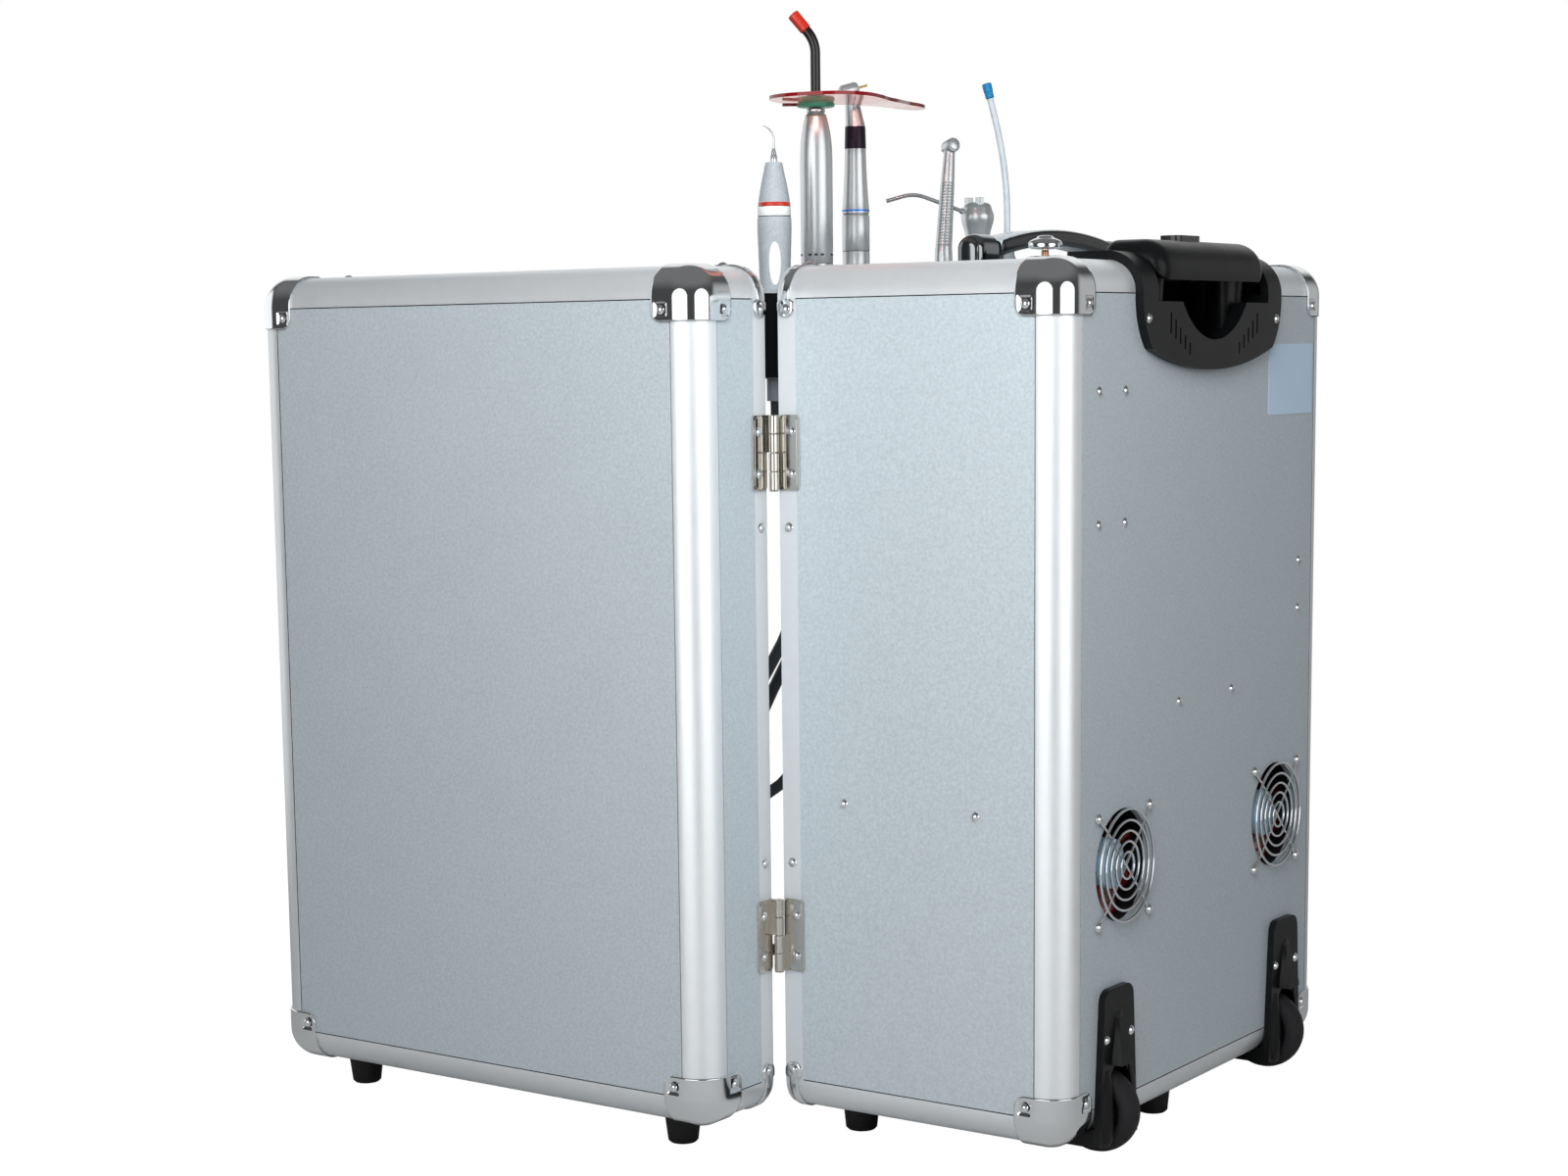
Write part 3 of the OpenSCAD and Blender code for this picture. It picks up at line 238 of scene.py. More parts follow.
def build_world(studio):
    scene = bpy.context.scene
    scene.world = world = bpy.data.worlds.new("studio")
    world.use_nodes = True
    tree = world.node_tree
    tree.nodes.clear()
    path = add(tree, "ShaderNodeLightPath").outputs
    direction = add(tree, "ShaderNodeTexCoord").outputs["Generated"]
    # what metal mirrors, each with its azimuth, rise, the cosines of its soft edge, and its brightness
    mirrored = 0.07
    for azimuth, rise, start, end, level in (
        (1.5, 0.05, 0.885, 0.915, 2.0),  # a white panel facing the hinge side
        (78, 0.05, 0.895, 0.925, 1.9),  # a white panel facing the rear face
        (146, 0.05, 0.86, 0.98, 0.42),  # a dim wall beside it
        (214, 0.1, 0.72, 0.88, 0.85),  # the white backdrop on the far side
        (275, 0.05, 0.86, 0.94, 1.1),  # the white backdrop in front
        (0, 40.0, 0.35, 0.8, studio.ceiling),
    ):
        panel = {0: lobe(tree, direction, azimuth, rise, start, end), 1: level, 2: mirrored}
        mirrored = add(tree, "ShaderNodeMath", panel, operation="MULTIPLY_ADD").outputs[0]
    lit = add(tree, "ShaderNodeMix", {0: path["Is Glossy Ray"], 2: studio.diffuse, 3: mirrored})
    level = add(tree, "ShaderNodeMix", {0: seen_directly(tree, path), 2: lit.outputs[0], 3: 1.0})
    background = add(tree, "ShaderNodeBackground", {"Color": (1, 1, 1, 1), "Strength": level.outputs[0]})
    add(tree, "ShaderNodeOutputWorld", {"Surface": background.outputs[0]})


def build_floor():
    mesh = bpy.data.meshes.new("studio_floor")
    reach = 1.4
    corners = [(x * reach, y * reach, 0) for x, y in ((-1, -1), (1, -1), (1, 1), (-1, 1))]
    mesh.from_pydata(corners, [], [(0, 1, 2, 3)])
    floor = bpy.data.objects.new("studio_floor", mesh)
    bpy.context.scene.collection.objects.link(floor)
    # white photographer's paper, matt: it glows for the camera, and still takes the object's shadow. To all
    # other rays it is grey, so that it throws less light up at the case
    material, tree, bsdf, _ = blank("white_seamless_paper", Roughness=0.8)
    bsdf.inputs["Base Color"].default_value = linear("A4A4A4")
    path = add(tree, "ShaderNodeLightPath").outputs
    share = add(tree, "ShaderNodeMath", {0: seen_directly(tree, path), 1: 0.8}, operation="MULTIPLY")
    glow = add(tree, "ShaderNodeEmission", {"Color": (1, 1, 1, 1), "Strength": 1.24})
    mix = add(tree, "ShaderNodeMixShader", {0: share.outputs[0], 1: bsdf.outputs[0], 2: glow.outputs[0]})
    out = next(n for n in tree.nodes if n.type == "OUTPUT_MATERIAL")
    tree.links.new(mix.outputs[0], out.inputs["Surface"])
    mesh.materials.append(material)


def build_stage():
    bpy.context.scene.view_settings.view_transform = "Standard"
    studio = bpy.context.scene.dental_unit_studio
    build_camera()
    build_world(studio)
    build_floor()
    for name, place, aim, size, power in (
        ("key_softbox", (0.95, 0.6, 1.08), (0.2, -0.1, 0.45), 0.8, studio.key),
        ("fill_softbox", (0.6, 2.9, 1.3), (0.0, 0.2, 0.3), 1.6, studio.fill),
        ("top_softbox", (-0.4, 0.0, 2.8), (0.0, 0.0, 0.3), 2.0, studio.top),
        ("front_softbox", (-1.3, -2.2, 0.9), (0.0, -0.25, 0.35), 1.4, studio.front),
    ):
        light = bpy.data.lights.new(name, "AREA")
        light.shape, light.size, light.energy = "SQUARE", size, power
        lamp = bpy.data.objects.new(name, light)
        lamp.location = place
        lamp.rotation_euler = (Vector(aim) - Vector(place)).to_track_quat("-Z", "Y").to_euler()
        # metal mirrors the world's panels, so the lamps themselves aren't mirrored too
        lamp.visible_glossy = False
        bpy.context.scene.collection.objects.link(lamp)


# ---------- hoses ----------

HOSE_R, SUCTION_R = 4.2, 5.5
# each hose's instrument, radius and route, in the case's millimetres, as the frame has them
HOSES = {
    "scaler_hose": ("scaler", HOSE_R, [
        (150, -252, 505.5), (147, -252, 470), (135, -251, 437), (122, -252, 404), (117, -257, 369),
        (123, -268, 335), (134, -281, 304), (142, -293, 272), (142, -302, 248), (132, -305, 228),
        (115, -299, 220), (101, -286, 229), (93, -269, 252), (87, -251, 281), (82, -241, 299),
        (80, -230, 319), (80, -211, 327),
    ]),
    "motor_hose": ("micromotor", HOSE_R, [
        (48, -252, 505.5), (49, -253, 465), (53, -257, 425), (61, -266, 386), (72, -278, 350),
        (84, -292, 315), (96, -305, 279), (106, -317, 240), (112, -325, 199), (111, -328, 158),
        (103, -324, 123), (88, -311, 103), (69, -293, 101), (52, -275, 114), (37, -257, 135),
        (25, -241, 159), (20, -229, 178), (20, -211, 187),
    ]),
    "highspeed_hose": ("highspeed", HOSE_R, [
        (-72, -252, 505.5), (-72, -252, 458), (-72, -252, 410), (-72, -252, 364), (-65, -250, 346),
        (-48, -246, 338), (-31, -242, 346), (-24, -239, 362), (-24, -237, 371), (-24, -229.4, 389.4),
        (-24, -211, 397),
    ]),
    "syringe_hose": ("syringe", HOSE_R, [
        (-122, -252, 505.5), (-122, -252, 461), (-122, -252, 417), (-122, -252, 371), (-115, -250, 353.5),
        (-98.5, -246, 346), (-82, -242, 353.5), (-75, -239, 370), (-75, -237, 378), (-75, -229.4, 396.4),
        (-75, -211, 404),
    ]),
    "suction_hose": ("saliva_ejector", SUCTION_R, [
        (-167, -252, 505.5), (-167, -252, 445), (-167, -252, 385), (-167, -252, 330), (-159.5, -250.5, 312),
        (-141.5, -247, 304), (-123.5, -244.5, 312), (-116, -242, 331), (-116, -239, 339),
        (-116, -231.5, 356.5), (-116, -211, 365),
    ]),
}


def smooth_route(route, steps):
    """A smooth line through the route's points, down from the handpiece and straight into the panel."""
    points = [Vector(p) for p in route]
    last = len(points) - 1
    ways = [(b - a).normalized() for a, b in zip(points, points[1:])]
    between = [(a + b).normalized() for a, b in zip(ways, ways[1:])]
    headings = [Vector((0, 0, -1)), *between, Vector((0, 1, 0))]
    line = [points[0]]
    for i in range(last):
        reach = (points[i + 1] - points[i]).length
        for s in range(1, steps + 1):
            t = s / steps
            line.append(
                (2 * t**3 - 3 * t**2 + 1) * points[i]
                + (t**3 - 2 * t**2 + t) * reach * headings[i]
                + (3 * t**2 - 2 * t**3) * points[i + 1]
                + (t**3 - t**2) * reach * headings[i + 1]
            )
    return [PLACED @ p for p in line]


def build_hoses():
    for name, (carried, radius, route) in HOSES.items():
        line = smooth_route(route, 2 if len(route) > 12 else 3)
        bm = bmesh.new()
        tube(bm, line, radius / 1000, SAME)
        shade = "hose_grey" if name == "suction_hose" else "hose_dark"
        hose = piece("silicone_" + name, bm, [shade], None, [name])
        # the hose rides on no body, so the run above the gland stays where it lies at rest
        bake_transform(hose)


# ---------- materials ----------

MADE = {}
MARKS_MM = 45


def per(size_mm):
    """The texture scale at which one feature is about size_mm across."""
    return 1000.0 / size_mm


def mottle(tree, bsdf, where, colour, spread, size_mm, rough, bump=0.0, depth_mm=0.05):
    """Colour and gloss that vary a little over a noise of one real size, with a bump of a real depth."""
    noise = add(tree, "ShaderNodeTexNoise", {"Vector": where, "Scale": per(size_mm), "Detail": 3.0})
    level = add(tree, "ShaderNodeMapRange", {"Value": noise.outputs["Fac"], "From Min": 0.3, "From Max": 0.7})
    ends = [[min(c * (1 + s), 1.0) for c in colour[:3]] + [1.0] for s in (-spread, spread)]
    shade = add(tree, "ShaderNodeMix", {0: level.outputs["Result"], 6: ends[0], 7: ends[1]}, data_type="RGBA")
    tree.links.new(shade.outputs[2], bsdf.inputs["Base Color"])
    # fingermarks and rubbing change the gloss over some centimetres
    marks = add(tree, "ShaderNodeTexNoise", {"Vector": where, "Scale": per(MARKS_MM), "Detail": 2.0})
    both = add(tree, "ShaderNodeMath", {0: noise.outputs["Fac"], 1: marks.outputs["Fac"]}, operation="ADD")
    gloss = add(
        tree, "ShaderNodeMapRange",
        {"Value": both.outputs[0], "From Min": 0.7, "From Max": 1.3, "To Min": rough[0], "To Max": rough[1]},
    )
    tree.links.new(gloss.outputs["Result"], bsdf.inputs["Roughness"])
    if bump:
        pressed_in = {"Height": noise.outputs["Fac"], "Strength": bump, "Distance": depth_mm / 1000}
        relief = add(tree, "ShaderNodeBump", pressed_in)
        tree.links.new(relief.outputs["Normal"], bsdf.inputs["Normal"])


def laminated_aluminium(name, colour):
    # a film pressed on thin aluminium sheet: an even grey-blue with a fine speckle and a broad metallic
    # sheen. The real speckle is about 1 mm, drawn at 2 mm so that it shows
    material, tree, bsdf, where = blank(name, Metallic=0.3)
    mottle(tree, bsdf, where, colour, 0.1, 2.0, (0.4, 0.5), 0.35, 0.1)
    return material


def anodised_aluminium(name, colour, rough=(0.27, 0.33)):
    # extruded, satin anodised: silvery and even, with a soft sheen
    material, tree, bsdf, where = blank(name, Metallic=0.68)
    mottle(tree, bsdf, where, colour, 0.012, 8, rough)
    return material


def chromed_steel(name, colour=linear("E3E6E8"), rough=(0.05, 0.1)):
    # pressed and chromium plated: a mirror with the faint waviness of pressed sheet
    material, tree, bsdf, where = blank(name, Metallic=1.0)
    mottle(tree, bsdf, where, colour, 0.02, 22, rough, 0.05, 0.12)
    return material


def nickelled_steel(name, colour):
    # nickel plate on stamped steel: warmer and duller than chrome
    material, tree, bsdf, where = blank(name, Metallic=1.0)
    mottle(tree, bsdf, where, colour, 0.03, 14, (0.1, 0.17), 0.05, 0.08)
    return material


def satin_steel(name, colour, rough=(0.28, 0.35), spread=0.03):
    # stainless steel blasted with fine beads: bright with a soft, even sheen
    material, tree, bsdf, where = blank(name, Metallic=0.84)
    mottle(tree, bsdf, where, colour, spread, 1.2, rough, 0.06, 0.02)
    return material


def moulded_plastic(name, colour, rough=(0.3, 0.4), grain_mm=0.9, bump=0.2):
    # ABS moulded against a spark-eroded tool: a fine leathery grain, drawn coarser than its real 0.2 mm, that
    # swallows most of the sheen
    material, tree, bsdf, where = blank(name, **{"IOR": 1.53, "Specular IOR Level": 0.2})
    mottle(tree, bsdf, where, colour, 0.12, grain_mm, rough, bump, 0.06)
    return material


def glossy_plastic(name, colour):
    # polished ABS: deep colour with a clear highlight
    material, tree, bsdf, where = blank(name, IOR=1.53)
    mottle(tree, bsdf, where, colour, 0.06, 20, (0.1, 0.18), 0.04, 0.1)
    return material


def moulded_rubber(name, colour):
    # black rubber: matt, a little dusty
    material, tree, bsdf, where = blank(name, **{"IOR": 1.52, "Specular IOR Level": 0.3})
    mottle(tree, bsdf, where, colour, 0.3, 3, (0.6, 0.78), 0.35, 0.08)
    return material


def silicone(name, colour):
    # extruded silicone: soft sheen, slightly cloudy
    material, tree, bsdf, where = blank(name, **{"IOR": 1.41, "Subsurface Weight": 0.08})
    bsdf.inputs["Subsurface Radius"].default_value = (0.002, 0.002, 0.002)
    mottle(tree, bsdf, where, colour, 0.07, 6, (0.3, 0.42), 0.08, 0.05)
    return material


def tinted_acrylic(name, colour, clear=0.85):
    # cast acrylic sheet: clear and coloured through, glossy
    material, tree, bsdf, where = blank(name, **{"IOR": 1.49, "Transmission Weight": clear})
    mottle(tree, bsdf, where, colour, 0.05, 25, (0.03, 0.08))
    return material


def powder_coat(name, colour):
    # sheet steel, powder coated: a slight orange peel
    material, tree, bsdf, where = blank(name, IOR=1.5)
    mottle(tree, bsdf, where, colour, 0.02, 2.2, (0.32, 0.42), 0.2, 0.08)
    return material


FINISHES = {
    "laminate": lambda c: laminated_aluminium("laminated_aluminium_sheet", c.laminate),
    "plate": lambda c: powder_coat("bare_polyester_plate", c.label),
    "edge": lambda c: anodised_aluminium("satin_anodised_aluminium", linear("DADEE1"), (0.36, 0.42)),
    "tube": lambda c: anodised_aluminium("drawn_aluminium_tube", linear("D2D6D8")),
    # near-black painted shade: it stands for the shadow down the narrow grooves beside the edge profiles,
    # round the handpieces' seams and in the curing light's slots
    "groove": lambda c: moulded_rubber("painted_groove_shade", linear("2B2C2D")),
    "chrome": lambda c: chromed_steel("chromed_pressed_steel"),
    "screw": lambda c: chromed_steel("chromed_screw_heads", rough=(0.1, 0.18)),
    "dark_chrome": lambda c: chromed_steel("smoked_chrome", linear("8C8F92")),
    "wire": lambda c: chromed_steel("chromed_wire", rough=(0.1, 0.16)),
    "copper": lambda c: nickelled_steel("worn_copper_plate", linear("B98E74")),
    "nickel": lambda c: nickelled_steel("nickel_plated_steel", linear("CFCCC5")),
    "rubber": lambda c: moulded_rubber("black_rubber", linear("111112")),
    "tyre": lambda c: moulded_rubber("black_wheel_rubber", linear("18181A")),
    "abs": lambda c: moulded_plastic("black_abs", c.black),
    "strap": lambda c: glossy_plastic("glossy_black_abs", linear("141517")),
    # a lighter grey painted on the carry strap's top faces, as the sheen that its glossy black top shows from
    # above
    "strap_top_sheen": lambda c: glossy_plastic("painted_top_sheen", linear("8E979B")),
    "rotor": lambda c: glossy_plastic("pale_blue_pbt", linear("98BCD4")),
    "blade_red": lambda c: glossy_plastic("dark_red_pbt", linear("5E1714")),
    "fan": lambda c: moulded_plastic("black_pbt", linear("121315")),
    "button": lambda c: glossy_plastic("black_button_abs", linear("1D1E20")),
    "panel": lambda c: powder_coat("white_powder_coat", linear("E0E2E2")),
    "grey": lambda c: moulded_plastic("grey_abs", linear("74797C")),
    "cast": lambda c: moulded_plastic("painted_cast_aluminium", linear("515558"), (0.5, 0.65), 1.5),
    "red": lambda c: glossy_plastic("red_polycarbonate", c.red),
    "blue": lambda c: anodised_aluminium("blue_anodised_aluminium", linear("2759AC")),
    "green": lambda c: anodised_aluminium("green_anodised_aluminium", linear("267B50")),
    "scaler": lambda c: moulded_plastic("grey_ppsu", c.scaler, (0.28, 0.38), 1.4, 0.1),
    "white": lambda c: glossy_plastic("white_ppsu", linear("C6CACA")),
    "steel": lambda c: satin_steel("satin_stainless_steel", linear("C6CACC")),
    "bright": lambda c: satin_steel("polished_stainless_steel", linear("D2D6D9"), (0.08, 0.15)),
    "ring_blue": lambda c: anodised_aluminium("blue_code_ring", linear("2F6FD0")),
    "knurl": lambda c: satin_steel("purple_black_pvd_steel", linear("2A2130"), (0.3, 0.42), 0.4),
    "guide": lambda c: glossy_plastic("black_glass_fibre_rod", linear("110D0C")),
    "teal": lambda c: silicone("teal_silicone", c.teal),
    "shield": lambda c: tinted_acrylic("tinted_acrylic_sheet", c.shield),
    "shield_edge": lambda c: tinted_acrylic("dark_red_acrylic", c.shield_edge, 0.0),
    "gold": lambda c: satin_steel("gold_plated_steel", linear("D6AB55"), (0.14, 0.22)),
    "clear": lambda c: silicone("whitish_soft_pvc", linear("B4BDC3")),
    "tip_blue": lambda c: silicone("blue_soft_pvc", c.tip_blue),
    "hose_grey": lambda c: silicone("grey_silicone_hose", c.light_hose),
    "hose_dark": lambda c: silicone("dark_silicone_hose", c.dark_hose),
}


def finish(key):
    """The finish of that name, made when it is first asked for."""
    if key not in MADE:
        MADE[key] = FINISHES[key](bpy.context.scene.dental_unit_colours)
    return MADE[key]


# what each CAD node that stays is made of
NODE_FINISH = {
    "box_panels": "laminate", "box_rim": "edge", "box_fasteners": "screw", "box_feet": "rubber",
    "fan_frames": "fan", "fan_guards": "wire", "handle_housing": "abs",
    "handle_outer_tubes": "tube", "latch_plates": "nickel", "control_panel": "panel", "panel_sockets": "grey",
    "instrument_holder": "abs", "compressor": "cast", "handle_inner_tubes": "chrome",
    "handle_button": "button", "latch_lever_upper": "chrome", "latch_lever_lower": "chrome",
    "power_rocker": "red", "air_knob": "blue", "water_knob": "green", "door_panels": "laminate",
    "door_rim": "edge", "door_fasteners": "screw", "door_feet": "rubber", "latch_strikes": "nickel",
}


def round_edges(obj, width, angle):
    """Rounds an object's edges that are sharper than the angle, by a modifier; the width is in metres."""
    edge = obj.modifiers.new("rounded", "BEVEL")
    edge.width, edge.segments, edge.limit_method = width, 2, "ANGLE"
    edge.angle_limit = math.radians(angle)
    edge.harden_normals = True


def dress(nodes, softened=0.0):
    """Gives CAD nodes their finish, and rounds their sharp edges by a modifier."""
    for name in nodes:
        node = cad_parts[name]
        node.data.materials.clear()
        node.data.materials.append(finish(NODE_FINISH[name]))
        if softened:
            round_edges(node, softened, 40)


# ---------- mesh helpers ----------

def circle_points(radius, steps, start=0.0, sweep=360.0, centre=(0.0, 0.0)):
    """Points of an arc in its plane; a full turn doesn't repeat its first point."""
    count = steps if sweep == 360.0 else steps + 1
    return [
        (
            centre[0] + radius * math.cos(math.radians(start + sweep * i / steps)),
            centre[1] + radius * math.sin(math.radians(start + sweep * i / steps)),
        )
        for i in range(count)
    ]


def round_rect(width, height, radius, steps=6):
    points = []
    for sx, sy, start in ((1, 1, 0), (-1, 1, 90), (-1, -1, 180), (1, -1, 270)):
        centre = (sx * (width / 2 - radius), sy * (height / 2 - radius))
        points += circle_points(radius, steps, start, 90.0, centre)
    return points


def ease(t):
    """A smooth step from 0 to 1."""
    t = min(max(t, 0), 1)
    return t * t * (3 - 2 * t)


def ring_of(bm, place, points):
    """New vertices at these points of the place's frame."""
    return [bm.verts.new(place @ Vector(point)) for point in points]


def skin(bm, rings, slots=0, closed=True, caps=(True, True)):
    """Joins rings of vertices one after another; slots is one slot, or one for each stretch."""
    for i, (a, b) in enumerate(zip(rings, rings[1:])):
        slot = slots[i] if isinstance(slots, (list, tuple)) else slots
        n = max(len(a), len(b))
        for k in range(n if closed else n - 1):
            j = (k + 1) % n
            corners = [a[k % len(a)], a[j % len(a)], b[j % len(b)], b[k % len(b)]]
            corners = [v for m, v in enumerate(corners) if v not in corners[:m]]
            if len(corners) > 2:
                bm.faces.new(corners).material_index = slot
    for ring, wanted in ((rings[0], caps[0]), (rings[-1], caps[1])):
        if wanted and len(ring) > 2:
            slot = slots[0 if ring is rings[0] else -1] if isinstance(slots, (list, tuple)) else slots
            bm.faces.new(ring).material_index = slot


def lathe(bm, profile, place, steps=56):
    """Turns (radius, height, finish) points round the frame's Z; a finish holds for the stretch after it."""
    rings, slots = [], []
    for point in profile:
        radius, height = point[0], point[1]
        slots.append(point[2] if len(point) > 2 else (slots[-1] if slots else 0))
        around = circle_points(radius, steps) if radius else [(0, 0)]
        rings.append(ring_of(bm, place, [(x, y, height) for x, y in around]))
    skin(bm, rings, slots)


def prism(bm, outline, low, high, place, slot=0):
    skin(bm, [ring_of(bm, place, [(x, y, z) for x, y in outline]) for z in (low, high)], slot)


def tube(bm, line, radii, place, sides=20, slot=0):
    """A round rod along points; radii is one number or one for each point."""
    line = [Vector(p) for p in line]
    radii = list(radii) if isinstance(radii, (list, tuple)) else [radii] * len(line)
    last = len(line) - 1
    headings = [(line[min(i + 1, last)] - line[max(i - 1, 0)]).normalized() for i in range(last + 1)]
    side = headings[0].orthogonal().normalized()
    rings = []
    for point, heading, radius in zip(line, headings, radii):
        side = (side - heading * side.dot(heading)).normalized()
        other = heading.cross(side)
        around = circle_points(radius, sides)
        rings.append(ring_of(bm, place, [point + side * x + other * y for x, y in around]))
    skin(bm, rings, slot)


def bent_line(stretches, fillet=6):
    """Points of a rod of straight stretches, each (length, bend before it), with rounded knuckles."""
    here, heading, points = Vector((0, 0, 0)), 0.0, [Vector((0, 0, 0))]
    corners = []
    for length, bend in stretches:
        heading += math.radians(bend)
        here = here + length * Vector((math.sin(heading), 0, math.cos(heading)))
        corners.append(here.copy())
    for i, corner in enumerate(corners[:-1]):
        before, after = (corners[i - 1] if i else Vector((0, 0, 0))), corners[i + 1]
        reach = min((corner - before).length, (after - corner).length, 2 * fillet) / 2
        start = corner + (before - corner).normalized() * reach
        end = corner + (after - corner).normalized() * reach
        for s in range(7):
            t = s / 6
            points.append((1 - t) ** 2 * start + 2 * t * (1 - t) * corner + t * t * end)
    points.append(corners[-1])
    return points


def piece(name, bm, finishes, body, stands_for=(), bevel=0.0, sharp=38, thick=0.0):
    """Makes an object of the bmesh, gives it its finishes, and rides it on its body, if it has just one."""
    bmesh.ops.recalc_face_normals(bm, faces=bm.faces)
    mesh = bpy.data.meshes.new(name)
    bm.to_mesh(mesh)
    bm.free()
    for key in finishes:
        mesh.materials.append(finish(key))
    mesh.shade_smooth()
    mesh.set_sharp_from_angle(angle=math.radians(sharp))
    obj = bpy.data.objects.new(name, mesh)
    bpy.context.scene.collection.objects.link(obj)
    if thick:
        wall = obj.modifiers.new("wall", "SOLIDIFY")
        wall.thickness, wall.offset = thick / 1000, -1
    if bevel:
        round_edges(obj, bevel / 1000, sharp)
    if body:
        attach(obj, body)
    if stands_for:
        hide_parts(*stands_for)
    return obj


# ---------- the case ----------

def shell_frames():
    """The four corners of a half: the reflections that carry its first corner to each."""
    for across in (SAME, FLIP_X):
        for up in (SAME, UPSIDE_DOWN):
            yield across @ up


CAP_OUT, CAP_LEN = 1.4, 36.0
CORNER_SCREW, RECESS_HALF, RECESS_SLOPE = 28.5, 5.2, 1.3


def cap_point(u, v, sink):
    """A point of a pressed corner: u and v run over a face from its edge, and it lies sink below the ball."""
    ball = EDGE_R + CAP_OUT
    place = [u, v, -CAP_OUT]
    core = [max(c, EDGE_R) for c in place]
    out = Vector([p - c for p, c in zip(place, core)])
    return Vector(core) + out.normalized() * (ball - sink)


def cap_grid():
    """Distances over a face of a corner, from its 45 degree line out to its straight edge."""
    ball, on_round, on_flat = EDGE_R + CAP_OUT, 14, 15
    round_part = [EDGE_R - ball * math.tan(math.radians(45 - 45 * i / on_round)) for i in range(on_round)]
    return round_part + [EDGE_R + (CAP_LEN - EDGE_R) * i / on_flat for i in range(on_flat + 1)]


def rounded_end(u, v, radius=8.0):
    """Rounds a corner's outer end, by mapping its last square to a quarter disc."""
    start = CAP_LEN - radius
    if u <= start or v <= start:
        return u, v
    a, b = (u - start) / radius, (v - start) / radius
    return start + radius * a * math.sqrt(1 - b * b / 2), start + radius * b * math.sqrt(1 - a * a / 2)


def pressed(u, v, depth):
    """Depth of the small square recess pressed round a corner's screw."""
    reach = max(abs(u - CORNER_SCREW), abs(v - CORNER_SCREW))
    return depth * ease((RECESS_HALF - reach) / RECESS_SLOPE)


def corner_cap(bm, place, recess):
    steps = cap_grid()
    verts = {}
    for axis in range(3):
        for i, u in enumerate(steps):
            for j, v in enumerate(steps):
                a, b = rounded_end(u, v)
                p = cap_point(a, b, pressed(a, b, recess))
                turned = Vector([p[(k - axis) % 3] for k in range(3)])
                key = tuple(round(c, 4) for c in turned)
                if key not in verts:
                    verts[key] = bm.verts.new(place @ turned)
                verts[(axis, i, j)] = verts[key]
        for i in range(len(steps) - 1):
            for j in range(len(steps) - 1):
                quad = [verts[(axis, *c)] for c in ((i, j), (i + 1, j), (i + 1, j + 1), (i, j + 1))]
                quad = [q for m, q in enumerate(quad) if q not in quad[:m]]
                if len(quad) > 2:
                    bm.faces.new(quad)


TAB_LEN, TAB_HALF, TAB_ROUND = 13.0, 6.6, 7.0


def rim_clamp(bm, place, depth):
    """The strip round a rim's corner: narrow on the round, with a rounded tab at each end."""
    proud, middle, count = CAP_OUT - 0.15, -depth + RIM_W / 2, 26
    # x and z along the strip, and how far along a tab each point is
    tab_end = [(EDGE_R + TAB_LEN * i / count, -proud, TAB_LEN * i / count) for i in range(count, 0, -1)]
    turned = circle_points(EDGE_R + proud, 24, 270, -90.0, (EDGE_R, EDGE_R))
    path = tab_end + [(x, z, 0.0) for x, z in turned] + [(z, x, along) for x, z, along in tab_end[::-1]]
    rings = []
    for x, z, along in path:
        neck = 2.9 + 0.2 * math.cos(along)
        if along < TAB_ROUND:
            half = neck + (TAB_HALF - neck) * ease((along - 0.8) / 2.6)
        else:
            half = max(TAB_HALF * math.sqrt(1 - ((along - TAB_ROUND) / (TAB_LEN - TAB_ROUND)) ** 2), 0.6)
        rings.append(ring_of(bm, place, [(x - HALF_W, middle + half * w, z) for w in (-1, -0.5, 0, 0.5, 1)]))
    skin(bm, rings, closed=False, caps=(False, False))


def build_corners(sheet, recess):
    for half, body, place, depth in HALVES:
        bm = bmesh.new()
        for flip in shell_frames():
            corner_cap(bm, place @ flip @ shift(-HALF_W, 0, 0) @ FLIP_Y, recess)
        stands_for = [half + "_corners"]
        piece(half + "_pressed_corners", bm, ["chrome"], body, stands_for, thick=sheet)
        bm = bmesh.new()
        for flip in shell_frames():
            rim_clamp(bm, place @ flip, depth)
        piece(half + "_rim_clamps", bm, ["chrome"], body, thick=sheet)


def profile_section(groove):
    """An edge profile's section: round outside, a lip beside the panel, and a groove between them, painted
    dark as its shade.
    """
    lip, wall = 0.45, 3.0
    outer = circle_points(EDGE_R, 20, 270, -90.0, (EDGE_R, EDGE_R))
    # the stretches marked 1 are the groove's floor and wall, which take the painted shade
    path = [(SEAM + 0.05, groove, 1), (EDGE_R + lip, groove, 1), (EDGE_R + lip, 0.0, 0)]
    path += [(x, y, 0) for x, y in outer]
    path += [(0.0, EDGE_R + lip, 1), (groove, EDGE_R + lip, 1), (groove, SEAM + 0.05, 0)]
    inner = circle_points(EDGE_R - wall, 12, 180, 90.0, (EDGE_R, EDGE_R))
    path += [(wall, SEAM, 0)] + [(x, y, 0) for x, y in inner] + [(SEAM, wall, 0)]
    return path


def profile_run(bm, start, end, place, groove):
    """One length of edge profile, from start to end along the frame's Z."""
    section = profile_section(groove)
    rings = [ring_of(bm, place, [(x, y, z) for x, y, _ in section]) for z in (start, end)]
    n = len(section)
    for k in range(n):
        j = (k + 1) % n
        face = bm.faces.new([rings[0][k], rings[0][j], rings[1][j], rings[1][k]])
        face.material_index = section[k][2]
    for ring in rings:
        bm.faces.new(ring)


# where the box's edges along x stop and start: for the wheels' wells below, and the handle's housing on top
WELL_GAPS, HOUSING_GAP = (-152.0, -110.0, 110.0, 152.0), (-93.0, 93.0)


